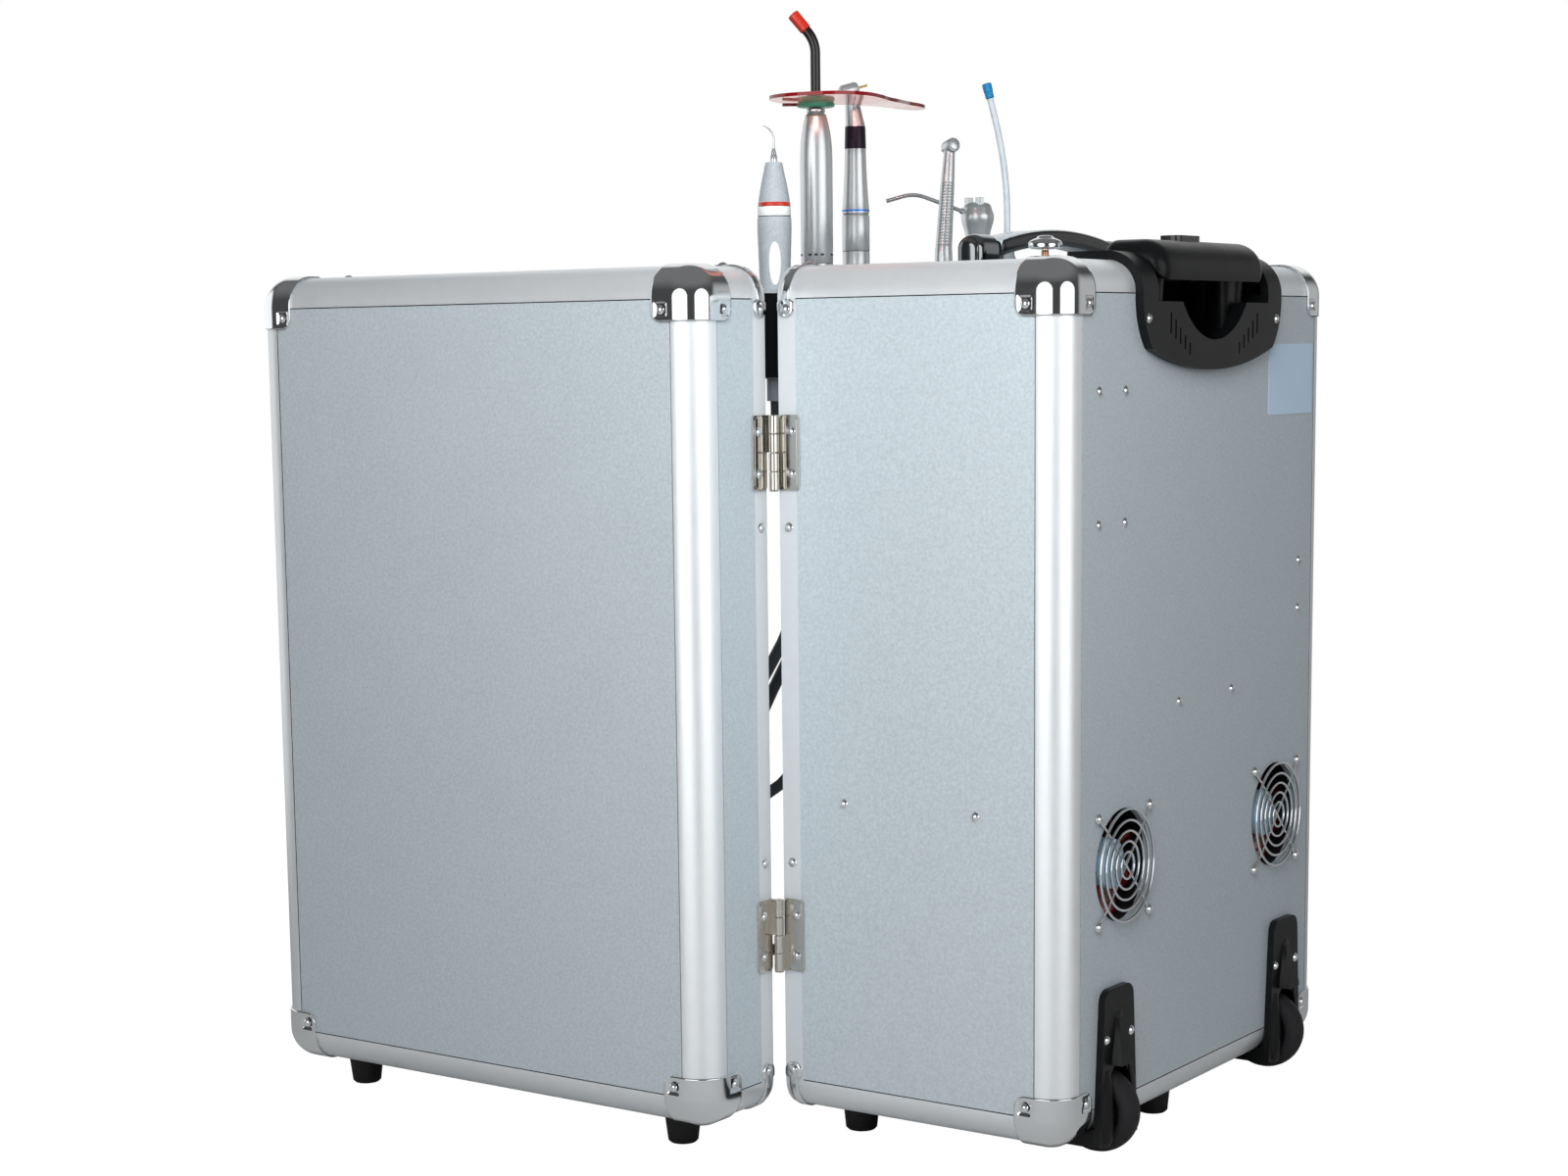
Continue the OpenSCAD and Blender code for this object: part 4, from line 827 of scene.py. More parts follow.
def build_edges(groove):
    for half, body, place, depth in HALVES:
        bm = bmesh.new()
        left, clear = shift(-HALF_W, 0, 0), SEAM + 0.3
        for flip in (SAME, FLIP_X):
            profile_run(bm, SEAM, CASE_H - SEAM, place @ flip @ left @ FLIP_Y, groove)
        back_to_front = left @ axes((1, 0, 0), (0, 0, 1), (0, -1, 0))
        for flip in shell_frames():
            profile_run(bm, clear, depth - RIM_W, place @ flip @ back_to_front, groove)
        side_to_side = axes((0, -1, 0), (0, 0, 1), (1, 0, 0))
        reach = HALF_W - clear
        for flip, gaps in ((SAME, WELL_GAPS), (UPSIDE_DOWN, HOUSING_GAP)):
            stops = (-reach, *gaps, reach) if half == "box" else (-reach, reach)
            for start, end in zip(stops[::2], stops[1::2]):
                profile_run(bm, start, end, place @ flip @ side_to_side, groove)
        stands_for = [half + "_edges"]
        piece(half + "_edge_profiles", bm, ["edge", "groove"], body, stands_for, sharp=30)


def build_label():
    """The bare plate at the place of the rating label: nothing is printed on it."""
    across, up, width, height = -135.6, 493.5, 74, 50
    bm = bmesh.new()
    prism(bm, round_rect(width, height, 1.5), 0.02, 0.25, IN_BOX @ shift(across, 0, up) @ turn(-90, "X"))
    piece("bare_plate", bm, ["plate"], "case")


# ---------- instruments, each in the frame of its cup ----------

# the end in the cup, which every instrument has, up to the cup's top
TAIL = [(0, -73), (6.5, -73), (6.5, -58), (9.7, -57), (9.7, -1), (11.2, -0.5), (11.2, 3)]


WINDOW_Z, WINDOW_REACH, WINDOW_HALF = 20.0, 14.5, 4.4


def build_scaler():
    place = at_cup("scaler")
    bm = bmesh.new()
    # the narrow stretches marked 1 are seams painted dark as their shade
    lathe(bm, TAIL + [
        (10.4, 3.6), (10.2, 8), (10.7, 20), (11.4, 34), (11.7, 44), (11.6, 50.6), (11.2, 51.6, 1),
        (11.2, 52.2, 2), (11.35, 52.6, 2), (11.3, 57.8, 2), (11.1, 58.3, 1), (11.15, 58.7, 3),
        (11.0, 60.8, 3), (10.8, 61.2, 0), (10.6, 63), (9.8, 68), (8.8, 73.5), (7.6, 79), (6.5, 84),
        (5.9, 87.2), (5.3, 88), (0, 88),
    ], place)
    piece("scaler_handpiece", bm, ["scaler", "groove", "white", "red"], "scaler", ["scaler"])
    # pale oval windows let into the grip
    for turned in (35, 155, 275):
        bm = bmesh.new()
        rows = []
        for tilt in range(-90, 91, 15):
            a = math.radians(tilt)
            z, half = WINDOW_Z + WINDOW_REACH * math.sin(a), WINDOW_HALF * max(math.cos(a), 0.02)
            # just outside the grip, which widens upwards
            radius = 0.12 + (10.7 + 0.0425 * (z - 20) if z > 20 else 10.25 + 0.038 * (z - 8))
            around = [half * w / radius for w in (-1, -0.75, -0.4, 0, 0.4, 0.75, 1)]
            lie = place @ turn(turned, "Z")
            rows.append(ring_of(bm, lie, [(radius * math.cos(b), radius * math.sin(b), z) for b in around]))
        skin(bm, rows, closed=False, caps=(False, False))
        piece(f"scaler_window_{turned}", bm, ["white"], "scaler", thick=0.3)
    bm = bmesh.new()
    collar = [(0, 87.6), (2.5, 87.6), (2.5, 92), (2.1, 92.6), (2.1, 94), (1.7, 95), (1.2, 97.5), (0, 97.5)]
    lathe(bm, collar, place, 24)
    hook = [(0, 0, 96), (0, 0, 99), (-0.2, 0, 102), (-0.1, 0, 104.5), (0.9, 0, 107.5), (2.9, 0, 110.2),
            (5.6, 0, 112), (7.6, 0, 112.8)]
    tube(bm, hook, [1.15, 1.0, 0.85, 0.75, 0.65, 0.55, 0.42, 0.15], place @ turn(IMAGE_LEFT, "Z"), 12)
    piece("scaler_hook_tip", bm, ["bright"], "scaler", ["scaler_tip"])


def build_curing_light():
    place = at_cup("curing_light")
    bm = bmesh.new()
    # the narrow stretch marked 1 is a seam painted dark as its shade
    lathe(bm, TAIL + [
        (10.9, 3.8), (11.1, 5), (11.15, 20.5), (11.0, 20.9, 1), (11.0, 21.3, 0), (11.2, 21.7), (11.3, 60),
        (11.3, 92), (11.1, 98), (10.7, 104), (10.0, 110), (9.0, 115.5), (7.8, 120.6), (7.1, 122.6),
        (6.5, 123.4, 2), (5.4, 123.6, 2), (6.3, 124.4, 2), (6.6, 125.4, 2), (6.3, 126.6, 2), (5.0, 127.3, 2),
        (0, 127.3),
    ], place)
    finishes = ["steel", "groove", "bright"]
    piece("curing_light_body", bm, finishes, "curing_light", ["curing_light"])
    # a ring of short slots round the battery end: thin patches painted dark as the slots' shade
    bm = bmesh.new()
    for i in range(16):
        if i % 4 != 3:
            lie = place @ turn(22.5 * i + 8, "Z") @ shift(11.17, 0, 27) @ turn(90, "Y")
            prism(bm, round_rect(1.5, 2.6, 0.5, 3), 0.0, 0.12, lie)
    piece("curing_light_marks", bm, ["groove"], "curing_light")

    bm = bmesh.new()
    line = bent_line([(41, 0), (8, 20), (19, 20)], fillet=9)
    lie = place @ shift(0, 0, 127.5) @ turn(IMAGE_LEFT, "Z")
    tube(bm, line, 3.5, lie, 28)
    end, heading = line[-1], (line[-1] - line[-2]).normalized()
    caps = [end - heading * d for d in (13.4, 12.9, 6, 0.6)] + [end + heading * d for d in (0.2, 0.7, 0.95)]
    tube(bm, caps, [3.7, 4.1, 4.15, 4.2, 4.1, 3.5, 2.4], lie, 28, 1)
    piece("light_guide_rod", bm, ["guide", "red"], "light_guide", ["light_guide"])


SHIELD_UP, COLLAR_R = 127.8, 9.1


def shield_outline():
    """The eye shield's plate: wide round the guide, with a long wing and a gently waved rim."""
    corners = [
        (-4, 51.4), (16, 52.0), (36, 43), (47, 25), (47.5, 6), (38, -12), (22, -22.2), (6, -23.8),
        (-8, -18), (-17, -4), (-27, 7), (-42, 10.2), (-60, 10.4), (-78, 9.8), (-94, 10.8), (-103.5, 14.5),
        (-105.5, 20.5), (-100, 27.5), (-88, 30.8), (-72, 33), (-54, 38.5), (-38, 43.5), (-20, 47.5),
    ]
    points, n = [], len(corners)
    for i in range(n):
        a, b, c, d = (Vector(corners[(i + k) % n]) for k in (-1, 0, 1, 2))
        for s in range(5):
            t = s / 5
            bent = (2 * a - 5 * b + 4 * c - d) * t * t + (3 * b - a - 3 * c + d) * t**3
            points.append(0.5 * (2 * b + (c - a) * t + bent))
    return points


def build_shield(wave):
    place = at_cup("curing_light") @ shift(0, 0, SHIELD_UP)
    bm = bmesh.new()
    # a flat sheet with the collar's hole, waved a little up and down away from it
    loops = {}
    for part, line in (("rim", shield_outline()), ("hole", circle_points(COLLAR_R, 48))):
        waves = [wave * math.sin(x / 17) * min(math.hypot(x, y) / COLLAR_R - 1, 1) for x, y in line]
        loops[part] = [
            ring_of(bm, place, [(x, y, level + rise) for (x, y), rise in zip(line, waves)])
            for level in (3.6, 6.0)
        ]
        skin(bm, loops[part], int(part == "rim"), caps=(False, False))
    for rim, hole in zip(loops["rim"], loops["hole"]):
        border = [bm.edges.get((ring[i - 1], ring[i])) for ring in (rim, hole) for i in range(len(ring))]
        bmesh.ops.triangle_fill(bm, use_beauty=True, edges=border)
    finishes = ["shield", "shield_edge"]
    piece("eye_shield_plate", bm, finishes, "light_shield", ["light_shield"])
    bm = bmesh.new()
    lathe(bm, [
        (3.75, 0.0), (12.0, 0.0), (12.9, 0.5), (13.2, 1.6), (12.9, 2.9), (12.2, 3.5), (9.2, 3.6), (9.0, 4.4),
        (9.0, 5.6), (9.4, 6.2), (9.0, 7.1), (7.6, 7.4), (4.4, 7.3), (3.75, 6.8), (3.75, 0.0),
    ], place)
    piece("shield_silicone_grommet", bm, ["teal"], "light_shield")
    bm = bmesh.new()
    prism(bm, round_rect(12, 7, 1.6), 0.9, 2.9, place @ turn(IMAGE_LEFT, "Z") @ shift(17.2, 0, 0))
    piece("shield_finger_tab", bm, ["shield_edge"], "light_shield", bevel=0.3)


def build_motor_handpiece():
    place = at_cup("micromotor")
    bm = bmesh.new()
    # the narrow stretch marked 1 is a seam painted dark as its shade
    lathe(bm, TAIL + [
        (9.5, 3.4), (9.6, 8), (9.75, 8.6), (9.75, 30), (9.55, 30.4, 1), (9.55, 30.9, 0), (9.8, 31.3),
        (9.8, 55.2), (9.5, 55.8), (9.0, 56.3), (0, 56.3),
    ], place)
    piece("micromotor_sleeve", bm, ["steel", "groove"], "micromotor", ["micromotor"])
    bm = bmesh.new()
    lathe(bm, [
        (0, 56.6), (9.1, 56.6), (9.7, 57.1), (9.8, 58.4, 1), (9.8, 59.6, 0), (9.6, 60.2), (9.15, 65),
        (8.5, 75), (7.95, 85), (7.6, 95), (7.45, 101.6, 0), (7.65, 102.1, 2), (7.6, 104), (7.3, 115.6),
        (7.15, 117.6, 0), (6.9, 118.4), (0, 118.4),
    ], place)
    bend = place @ shift(0, 0, 118) @ turn(150, "Z") @ turn(-8, "Y")
    neck = [(0, -0.5), (7.0, -0.5), (6.9, 0.6), (6.5, 3), (6.0, 8), (5.4, 13), (4.7, 18), (4.2, 22)]
    lathe(bm, neck + [(4.0, 26), (0, 26)], bend, 40)
    head = bend @ shift(0, 0, 25) @ turn(82, "Y")
    lathe(bm, [
        (0, -8.5), (3.3, -8.5), (3.8, -8.1), (3.9, -7.3), (4.7, -6.9), (5.0, -6.3), (5.0, 3.6), (4.6, 4.6),
        (3.4, 5.2), (1.1, 5.3), (0, 5.3),
    ], head, 40)
    finishes = ["steel", "ring_blue", "knurl"]
    piece("contra_angle_body", bm, finishes, "contra_angle", ["contra_angle"])
    bm = bmesh.new()
    bur = [(0, 5), (0.8, 5), (0.8, 9.6), (0.65, 10.4), (0.9, 11), (0.75, 13.2), (0.2, 14), (0, 14)]
    lathe(bm, bur, head, 16)
    piece("contra_angle_bur", bm, ["gold"], "contra_bur", ["contra_bur"])


GRIP_RINGS, GRIP_PITCH, GRIP_DEEP = 22, 2.2, 0.18


def build_highspeed():
    place = at_cup("highspeed")
    bm = bmesh.new()
    rings = [(8.8, 3.4), (8.6, 4.4), (8.0, 9), (7.4, 15), (7.0, 22), (6.7, 28), (6.5, 33.5)]
    lathe(bm, TAIL + rings + [(6.3, 34.2), (0, 34.2)], place)
    bend = place @ shift(0, 0, 34) @ turn(-7, "Y")
    grip = [(0, -0.6), (6.45, -0.6), (6.35, 1.2)]
    for i in range(GRIP_RINGS):
        z = 2 + GRIP_PITCH * i
        r = 6.25 - 0.022 * z
        grip += [(r, z), (r, z + 1.35), (r - GRIP_DEEP, z + 1.6), (r - GRIP_DEEP, z + 2.0)]
    grip += [(5.1, 51.2), (4.8, 58), (4.5, 65), (4.25, 71), (4.1, 77.5), (0, 77.5)]
    lathe(bm, grip, bend, 40)
    head = bend @ shift(0, 0, 77) @ turn(240, "Z") @ turn(97, "Y")
    lathe(bm, [
        (0, -7.8), (3.6, -7.8), (4.2, -7.4), (4.3, -6.8), (5.0, -6.5), (5.3, -5.9), (5.3, 3.4), (4.8, 4.6),
        (3.4, 5.0), (1.1, 5.1), (0, 5.1),
    ], head, 40)
    piece("highspeed_turbine_body", bm, ["steel"], "highspeed", ["highspeed_handpiece"])
    bm = bmesh.new()
    bur = [(0, 4.6), (0.8, 4.6), (0.8, 9), (0.6, 9.6), (0.75, 10.4), (0.7, 12.4), (0.2, 13), (0, 13)]
    lathe(bm, bur, head, 16)
    piece("highspeed_turbine_bur", bm, ["bright"], "highspeed_bur", ["highspeed_bur"])


TEETH = 14


def build_syringe():
    place = at_cup("syringe")
    bm = bmesh.new()
    lathe(bm, TAIL + [
        (8.6, 3.4), (8.5, 12), (8.3, 30), (8.4, 38), (9.0, 44), (10.2, 50), (11.6, 54.5), (12.4, 57.5),
        (12.6, 60), (12.3, 62.2), (11.4, 64.4), (10.9, 66), (10.2, 68.4), (8.6, 70), (6.0, 70.8), (0, 71.2),
    ], place)
    line = bent_line([(43, 69), (22, 36)], fillet=9)
    lie = place @ turn(IMAGE_LEFT, "Z") @ shift(8, 0, 63)
    tube(bm, line, 1.5, lie, 18)
    foot = [line[0] - Vector((1, 0, 0.4)), line[0] + (line[1] - line[0]).normalized() * 5.5]
    tube(bm, foot, [2.7, 2.2], lie, 24)
    piece("syringe_body", bm, ["steel"], "syringe", ["syringe"])
    for name, y in (("syringe_air_button", -4.8), ("syringe_water_button", 4.8)):
        bm = bmesh.new()
        teeth = []
        for i in range(TEETH):
            for r, a in ((3.25, 0.2), (3.25, 0.55), (2.8, 0.7), (2.8, 1.05)):
                around = math.tau * (i + a) / TEETH
                teeth.append((r * math.cos(around), r * math.sin(around)))
        prism(bm, teeth, 68.7, 74.4, place @ shift(5, y, 0))
        piece(name + "_cap", bm, ["bright"], name, [name], bevel=0.25)


def build_ejector():
    place = at_cup("saliva_ejector")
    bm = bmesh.new()
    lathe(bm, TAIL + [
        (8.6, 3.4), (8.4, 4.4), (8.4, 25), (7.8, 27.4), (6.4, 30.6), (5.7, 32.4), (5.6, 43), (5.2, 44),
        (3.2, 44), (2.9, 43.4), (2.9, 36), (0, 36),
    ], place)
    cross = place @ shift(0, 0, 14) @ turn(90, "X")
    lathe(bm, [(0, -13.2), (4.0, -13.2), (4.5, -12.6), (4.5, 12.6), (4.0, 13.2), (0, 13.2)], cross, 32)
    piece("saliva_ejector_valve", bm, ["grey"], "saliva_ejector", ["saliva_ejector"])
    bm = bmesh.new()
    line = bent_line([(40, 0), (26, 5), (26, 5), (30, 4)], fillet=30)
    lie = place @ shift(0, 0, 34) @ turn(IMAGE_LEFT, "Z")
    tube(bm, line, 2.45, lie, 24)
    end, heading = line[-1], (line[-1] - line[-2]).normalized()
    tip = [end + heading * d for d in (-3.6, -3.0, 1.6, 1.9, 7.4, 8.0, 8.3)]
    tube(bm, tip, [2.6, 3.3, 3.35, 3.65, 3.7, 3.4, 2.7], lie, 24, 1)
    finishes = ["clear", "tip_blue"]
    piece("saliva_ejector_straw", bm, finishes, "saliva_ejector", ["ejector_tube"])


# ---------- wheels, fans, hinges ----------

def build_wheels():
    # from the bore outwards over one side: the hub, and then the tyre
    side_face = [
        (4.1, 9.4, 1), (7.0, 9.6, 1), (8.2, 9.2, 1), (9.0, 7.0, 1), (17.6, 6.6, 1), (18.6, 8.6, 1),
        (19.6, 9.4, 0), (23.0, 9.7, 0), (26.0, 8.6, 0), (27.8, 6.2, 0), (28.7, 3.2, 0), (28.95, 0.8, 0),
    ]
    profile = side_face + [(r, -z, slot) for r, z, slot in reversed(side_face)] + side_face[:1]
    for body, x in (("wheel_right", WHEEL_X), ("wheel_left", -WHEEL_X)):
        place = IN_BOX @ shift(x, AXLE_Y, AXLE_Z) @ turn(90, "Y")
        bm = bmesh.new()
        lathe(bm, profile, place, 72)
        # spokes in the hub's hollow
        for side in (-1, 1):
            for i in range(6):
                lie = place @ turn(60 * i, "Z") @ shift(13.2, 0, side * 7.6)
                prism(bm, round_rect(9.5, 2.2, 0.6, 2), -1.2, 1.2, lie, 1)
        piece(body + "_tyre_and_hub", bm, ["tyre", "abs"], body, [body])


def build_brackets():
    """Each wheel's plate with its tapered rib, its well and its axle."""
    bm = bmesh.new()
    for x in (WHEEL_X, -WHEEL_X):
        at_wheel = IN_BOX @ shift(x, 0, 0)
        # the frame whose X is across, Y is up and Z is out of the rear face
        upright = at_wheel @ axes((1, 0, 0), (0, 0, 1), (0, 1, 0))
        arch = circle_points(13, 12, 0, 180.0, (0, 36))
        top = circle_points(9, 6, 0, 90.0, (11.5, 91)) + circle_points(9, 6, 90, 90.0, (-11.5, 91))
        outline = [(13, -4), (27, -4)] + top + [(-27, -4), (-13, -4)] + arch[::-1]
        prism(bm, outline, 0.1, 5, upright)
        # legs beside the wheel, which swell out towards the axle
        for side in (-1, 1):
            rings = []
            for z, deep in ((-5.5, 5.6), (-2, 7.6), (8, 8.6), (20, 8.4), (34, 7.2), (46, 5.2)):
                inner = -24 if z < 0 else 0.2
                rim = [(13.2, inner), (13.2, deep), (17.5, deep + 0.5), (21.5, deep - 1.5), (24, 4.8)]
                rim.append((24, inner))
                rings.append(ring_of(bm, at_wheel, [(side * px, py, z) for px, py in rim]))
            skin(bm, rings)
        # the rib over the wheel, narrow at its top
        rings = []
        for z, half, deep in (
            (48.5, 10.6, 12.2), (52, 10.2, 12.0), (66, 7.4, 9.2), (80, 4.8, 6.6), (84, 4.0, 5.2),
        ):
            rim = [(-half, 4.8), (-half + 1.4, deep), (half - 1.4, deep), (half, 4.8)]
            rings.append(ring_of(bm, at_wheel, [(px, py, z) for px, py in rim]))
        skin(bm, rings)
        # the well's walls round the wheel
        for x0, x1, y0, y1, z0, z1 in (
            (-20, -13, -45.8, 0.2, 0.6, 53), (13, 20, -45.8, 0.2, 0.6, 53), (-13, 13, -45.8, -42.8, 0.6, 53),
            (-13, 13, -43, 0.2, 50, 53),
        ):
            lie = at_wheel @ shift((x0 + x1) / 2, (y0 + y1) / 2, 0)
            prism(bm, round_rect(x1 - x0, y1 - y0, 0.6, 2), z0, z1, lie)
        axle = [(0, -20), (AXLE_R, -20), (AXLE_R, 20), (0, 20)]
        lathe(bm, axle, at_wheel @ shift(0, AXLE_Y, AXLE_Z) @ turn(90, "Y"), 32)
    softened = bpy.context.scene.dental_unit_sizes.softened * 1000
    piece("wheel_bracket_mouldings", bm, ["abs"], "case", ["wheel_brackets"], bevel=softened)


def build_grip():
    """The trolley handle's bar, hollow underneath, with a collar round each tube."""
    bm = bmesh.new()
    # y and z round the section: the rear is rounded widely, and two points below rise into the hollow
    section = circle_points(20, 10, -20, 110.0, (-13, -6)) + circle_points(8, 5, 90, 90.0, (-32, 6))
    section += [(-40, -8), (-36, -12), (-33, -12), (-33, -12), (1, -12), (1, -12), (4.5, -12)]
    hollow = {len(section) - 5: 12.0, len(section) - 4: 12.0}
    rings = []
    ends = [80 - 13 * (1 - math.cos(math.radians(a))) for a in range(0, 91, 10)]
    stations = sorted({-e for e in ends} | set(ends) | {-49.0, -46.0, 46.0, 49.0})
    for x in stations:
        t = min(max((abs(x) - 67) / 13, 0), 0.995)
        inset = 11 * (1 - math.sqrt(1 - t * t))
        ring = []
        for k, (y, z) in enumerate(section):
            rise = hollow.get(k, 0.0) if abs(x) < 48 else 0.0
            ring.append((x, -16.5 + (y + 16.5) * (1 - inset / 24), 1 + (z + rise - 1) * (1 - inset / 14)))
        rings.append(ring_of(bm, ON_TOP, ring))
    skin(bm, rings)
    for side in (-1, 1):
        collar = [(8.1, -53), (10.6, -53), (11.2, -50), (12.4, -20), (13.2, -11), (8.1, -11), (8.1, -53)]
        lathe(bm, collar, ON_TOP @ shift(side * 60, -17, 0), 40)
    piece("trolley_grip_bar", bm, ["abs"], "trolley_handle", ["handle_grip"], sharp=50)


BLADES, BLADE_IN, BLADE_OUT = 7, 16.6, 36.8


def build_fans(blade):
    for body, x in (("fan_right", FAN_X), ("fan_left", -FAN_X)):
        node = body.replace("fan_", "fan_rotor_")
        place = IN_BOX @ shift(x, -PANEL_T - 3, FAN_Z) @ turn(90, "X")
        bm = bmesh.new()
        lathe(bm, [
            (0, 0), (14.8, 0), (16.4, 0.7), (17, 2), (17, 17), (15.4, 17), (15.4, 2.4), (4.2, 2.2), (4.2, 16),
            (3.06, 16), (3.06, 2), (0, 2),
        ], place, 48)
        for i in range(BLADES):
            rows = []
            # out from the hub to the tip, where the blade is wider and flatter
            for out in (k / 6 for k in range(7)):
                r, twist = BLADE_IN + (BLADE_OUT - BLADE_IN) * out, math.radians(34 + 16 * out)
                row = []
                for along in (w / 6 for w in range(7)):
                    t = (along - 0.5) * (15 + 4 * out)
                    camber = 1.6 * (1 - (2 * along - 1) ** 2)
                    around = (t * math.sin(twist) + camber) / r
                    lie = place @ turn(360 / BLADES * i + 10 * out + math.degrees(around), "Z")
                    row += ring_of(bm, lie, [(r, 0, 8.5 + t * math.cos(twist) * 0.8)])
                rows.append(row)
            skin(bm, rows, 1, closed=False, caps=(False, False))
        piece(body + "_blades", bm, ["rotor", "blade_red"], body, [node], thick=blade)


LEAF_W, LEAF_H, LEAF_Y = 16.0, 50.0, 9.25
BARREL_H, BARREL_STEP, PIN_HOLE_R = 12.25, 12.45, 1.78


def build_hinges():
    """Each half's two leaves, with its half of the barrels; the case's leaves also hold the pins."""
    opened = PLACED @ shift(HINGE_X, HINGE_Y, 0) @ turn(90, "Z") @ shift(-HINGE_X, -HINGE_Y, 0)
    for half, body, place, flip, low in (
        ("box", "case", PLACED, SAME, -25.0), ("door", "door", opened, FLIP_Y, 0.15),
    ):
        bm = bmesh.new()
        for up in (CASE_H - HINGE_IN, HINGE_IN):
            middle = place @ shift(0, HINGE_Y, CASE_Z + up) @ flip
            lie = middle @ shift(HALF_W, LEAF_Y, 0) @ axes((0, 1, 0), (0, 0, 1), (1, 0, 0))
            prism(bm, round_rect(LEAF_W, LEAF_H, 3, 5), 0.1, 1.5, lie)
            prism(bm, round_rect(LEAF_W - 3.4, LEAF_H - 3.4, 2.4, 5), 1.4, 1.8, lie)
            # the leaf's arm runs up to its half of the barrel
            arm = [(HALF_W, 0.9), (HINGE_X - 1.6, 0.9), (HINGE_X - 1.2, 2.9), (HALF_W, 3.0)]
            prism(bm, arm, low, low + 24.8, middle)
            knuckle = [
                (PIN_HOLE_R, 0), (3.1, 0), (3.4, 0.35), (3.4, 11.9), (3.1, BARREL_H), (PIN_HOLE_R, BARREL_H),
            ]
            for step in (0, BARREL_STEP):
                lathe(bm, knuckle, middle @ shift(HINGE_X, 0, low + step), 32)
            if half == "box":
                pin = [(0, -26), (3.0, -26), (3.2, -25.7), (3.2, -25.1), (1.7, -25), (1.7, 25), (0, 25)]
                lathe(bm, pin, middle @ shift(HINGE_X, 0, 0), 28)
        stands_for = [f"hinge_{half}_leaves"]
        piece("hinge_leaves_" + body, bm, ["nickel"], body, stands_for, bevel=0.25)


# ---------- handles and the thumb nut ----------

CARRY_Y, CARRY_HL, CAP_L, ARCH_R, CARRY_TOP = -123.0, 111.0, 26.0, 400.0, 25.5
STRAP_W, STRAP_T = 24.0, 11.0
STUD_IN, STUD_Y = 45.0, -40.0


def build_carry_handle():
    on_top = ON_TOP @ shift(0, CARRY_Y, 0)
    bm = bmesh.new()
    rings, upper = [], set()
    reach = CARRY_HL - CAP_L - 2
    for i in range(45):
        x = reach * math.sin(math.radians(-90 + 180 * i / 44))
        top = CARRY_TOP - ARCH_R + math.sqrt(ARCH_R**2 - x * x)
        low = CARRY_TOP - ARCH_R + math.sqrt((ARCH_R - STRAP_T) ** 2 - x * x)
        # the ends pull in a little, and the top is crowned
        pull = 1.6 * max(0.0, (abs(x) - reach + 4) / 4) ** 2
        ring = []
        for y, z in round_rect(STRAP_W - 2 * pull, top - low - pull, 3.4, 5):
            crown = 0.5 * (1 - (2 * y / STRAP_W) ** 2) if z > 0 else 0.0
            vert = bm.verts.new(on_top @ Vector((x, y, (top + low) / 2 + z + crown - 0.5)))
            if z > 0 and abs(y) < 11:
                upper.add(vert)
            ring.append(vert)
        rings.append(ring)
    skin(bm, rings)
    # the top faces take slot 1: a light grey painted on as the strap's sheen from above
    for face in bm.faces:
        if upper.issuperset(face.verts):
            face.material_index = 1
    for side in (-1, 1):
        lie = on_top @ shift(side * (reach - 12 + 17.5), 0, 0)
        prism(bm, round_rect(35, 11.6, 1.5, 3), 2.4, 6.9, lie)
    piece("carry_strap", bm, ["strap", "strap_top_sheen"], "carry_handle", ["carry_handle"])

    bm = bmesh.new()
    mouth, dome = CARRY_HL - CAP_L, CARRY_HL - 9
    # x, half width and lowest z, from inside the mouth out over the edge and to the domed end
    rows = [(CARRY_HL - 2, 8, 2), (mouth, 8, 2), (mouth, 9.6, 0.1), (mouth + 0.4, 10, 0.05), (dome, 10, 0.05)]
    for a in (math.radians(10 * k) for k in range(1, 10)):
        rows.append((dome + 9 * math.sin(a), 10 - 7 * (1 - math.cos(a)), 0.05))
    for flip in (SAME, FLIP_X):
        rings = []
        for x, r, low in rows:
            arch = [(-px, py) for px, py in circle_points(r, 20, 0, 180.0, (0, 10))]
            outline = [(-r, low), (-r, 5), *arch, (r, 5), (r, low)]
            rings.append(ring_of(bm, on_top @ flip, [(x, y, z) for y, z in outline]))
        skin(bm, rings)
    piece("carry_handle_caps", bm, ["dark_chrome"], "case", ["carry_caps"])


def build_thumb_nut():
    at_stud = ON_TOP @ shift(HALF_W - STUD_IN, STUD_Y, 0)
    bm = bmesh.new()
    lathe(bm, [
        (1.77, 6.1), (4.4, 6.1), (9.0, 6.6), (10.7, 7.4), (11, 8.6), (10.8, 10.2), (9.6, 11.7), (7.2, 12.8),
        (5.6, 13.4), (4.8, 14.4), (3.2, 14.9), (1.77, 15.0), (1.77, 6.1),
    ], at_stud, 64)
    piece("thumb_nut", bm, ["chrome"], "top_knob", ["top_knob"])
    bm = bmesh.new()
    lathe(bm, [
        (1.75, 0.1), (3.4, 0.1), (3.4, 0.8), (2.4, 1.2), (2.4, 5.4), (2.1, 5.8), (1.75, 5.8), (1.75, 0.1),
    ], at_stud, 40)
    piece("thumb_nut_sleeve", bm, ["copper"], "case")


def build_latch_rivets():
    for name, up in (("latch_rivet_upper", CASE_H - LATCH_IN), ("latch_rivet_lower", LATCH_IN)):
        for end, step in (("_a", -10.5), ("_b", 10.5)):
            lie = IN_BOX @ shift(-HALF_W - 1.5, -BOX_D + 30.0, up + step) @ turn(-90, "Y")
            bm = bmesh.new()
            lathe(bm, [(0, 0.02), (2.6, 0.02), (2.5, 0.5), (2.0, 1.0), (1.2, 1.35), (0, 1.5)], lie, 28)
            piece(name + end, bm, ["nickel"], "case")


# ---------- the add-on ----------

class DENTAL_OT_stage(bpy.types.Operator):
    """Adds the camera, the lights, the world and the white floor"""
    bl_idname = "dental_unit.stage"
    bl_label = "Stage"

    def execute(self, context):
        build_stage()
        return {"FINISHED"}


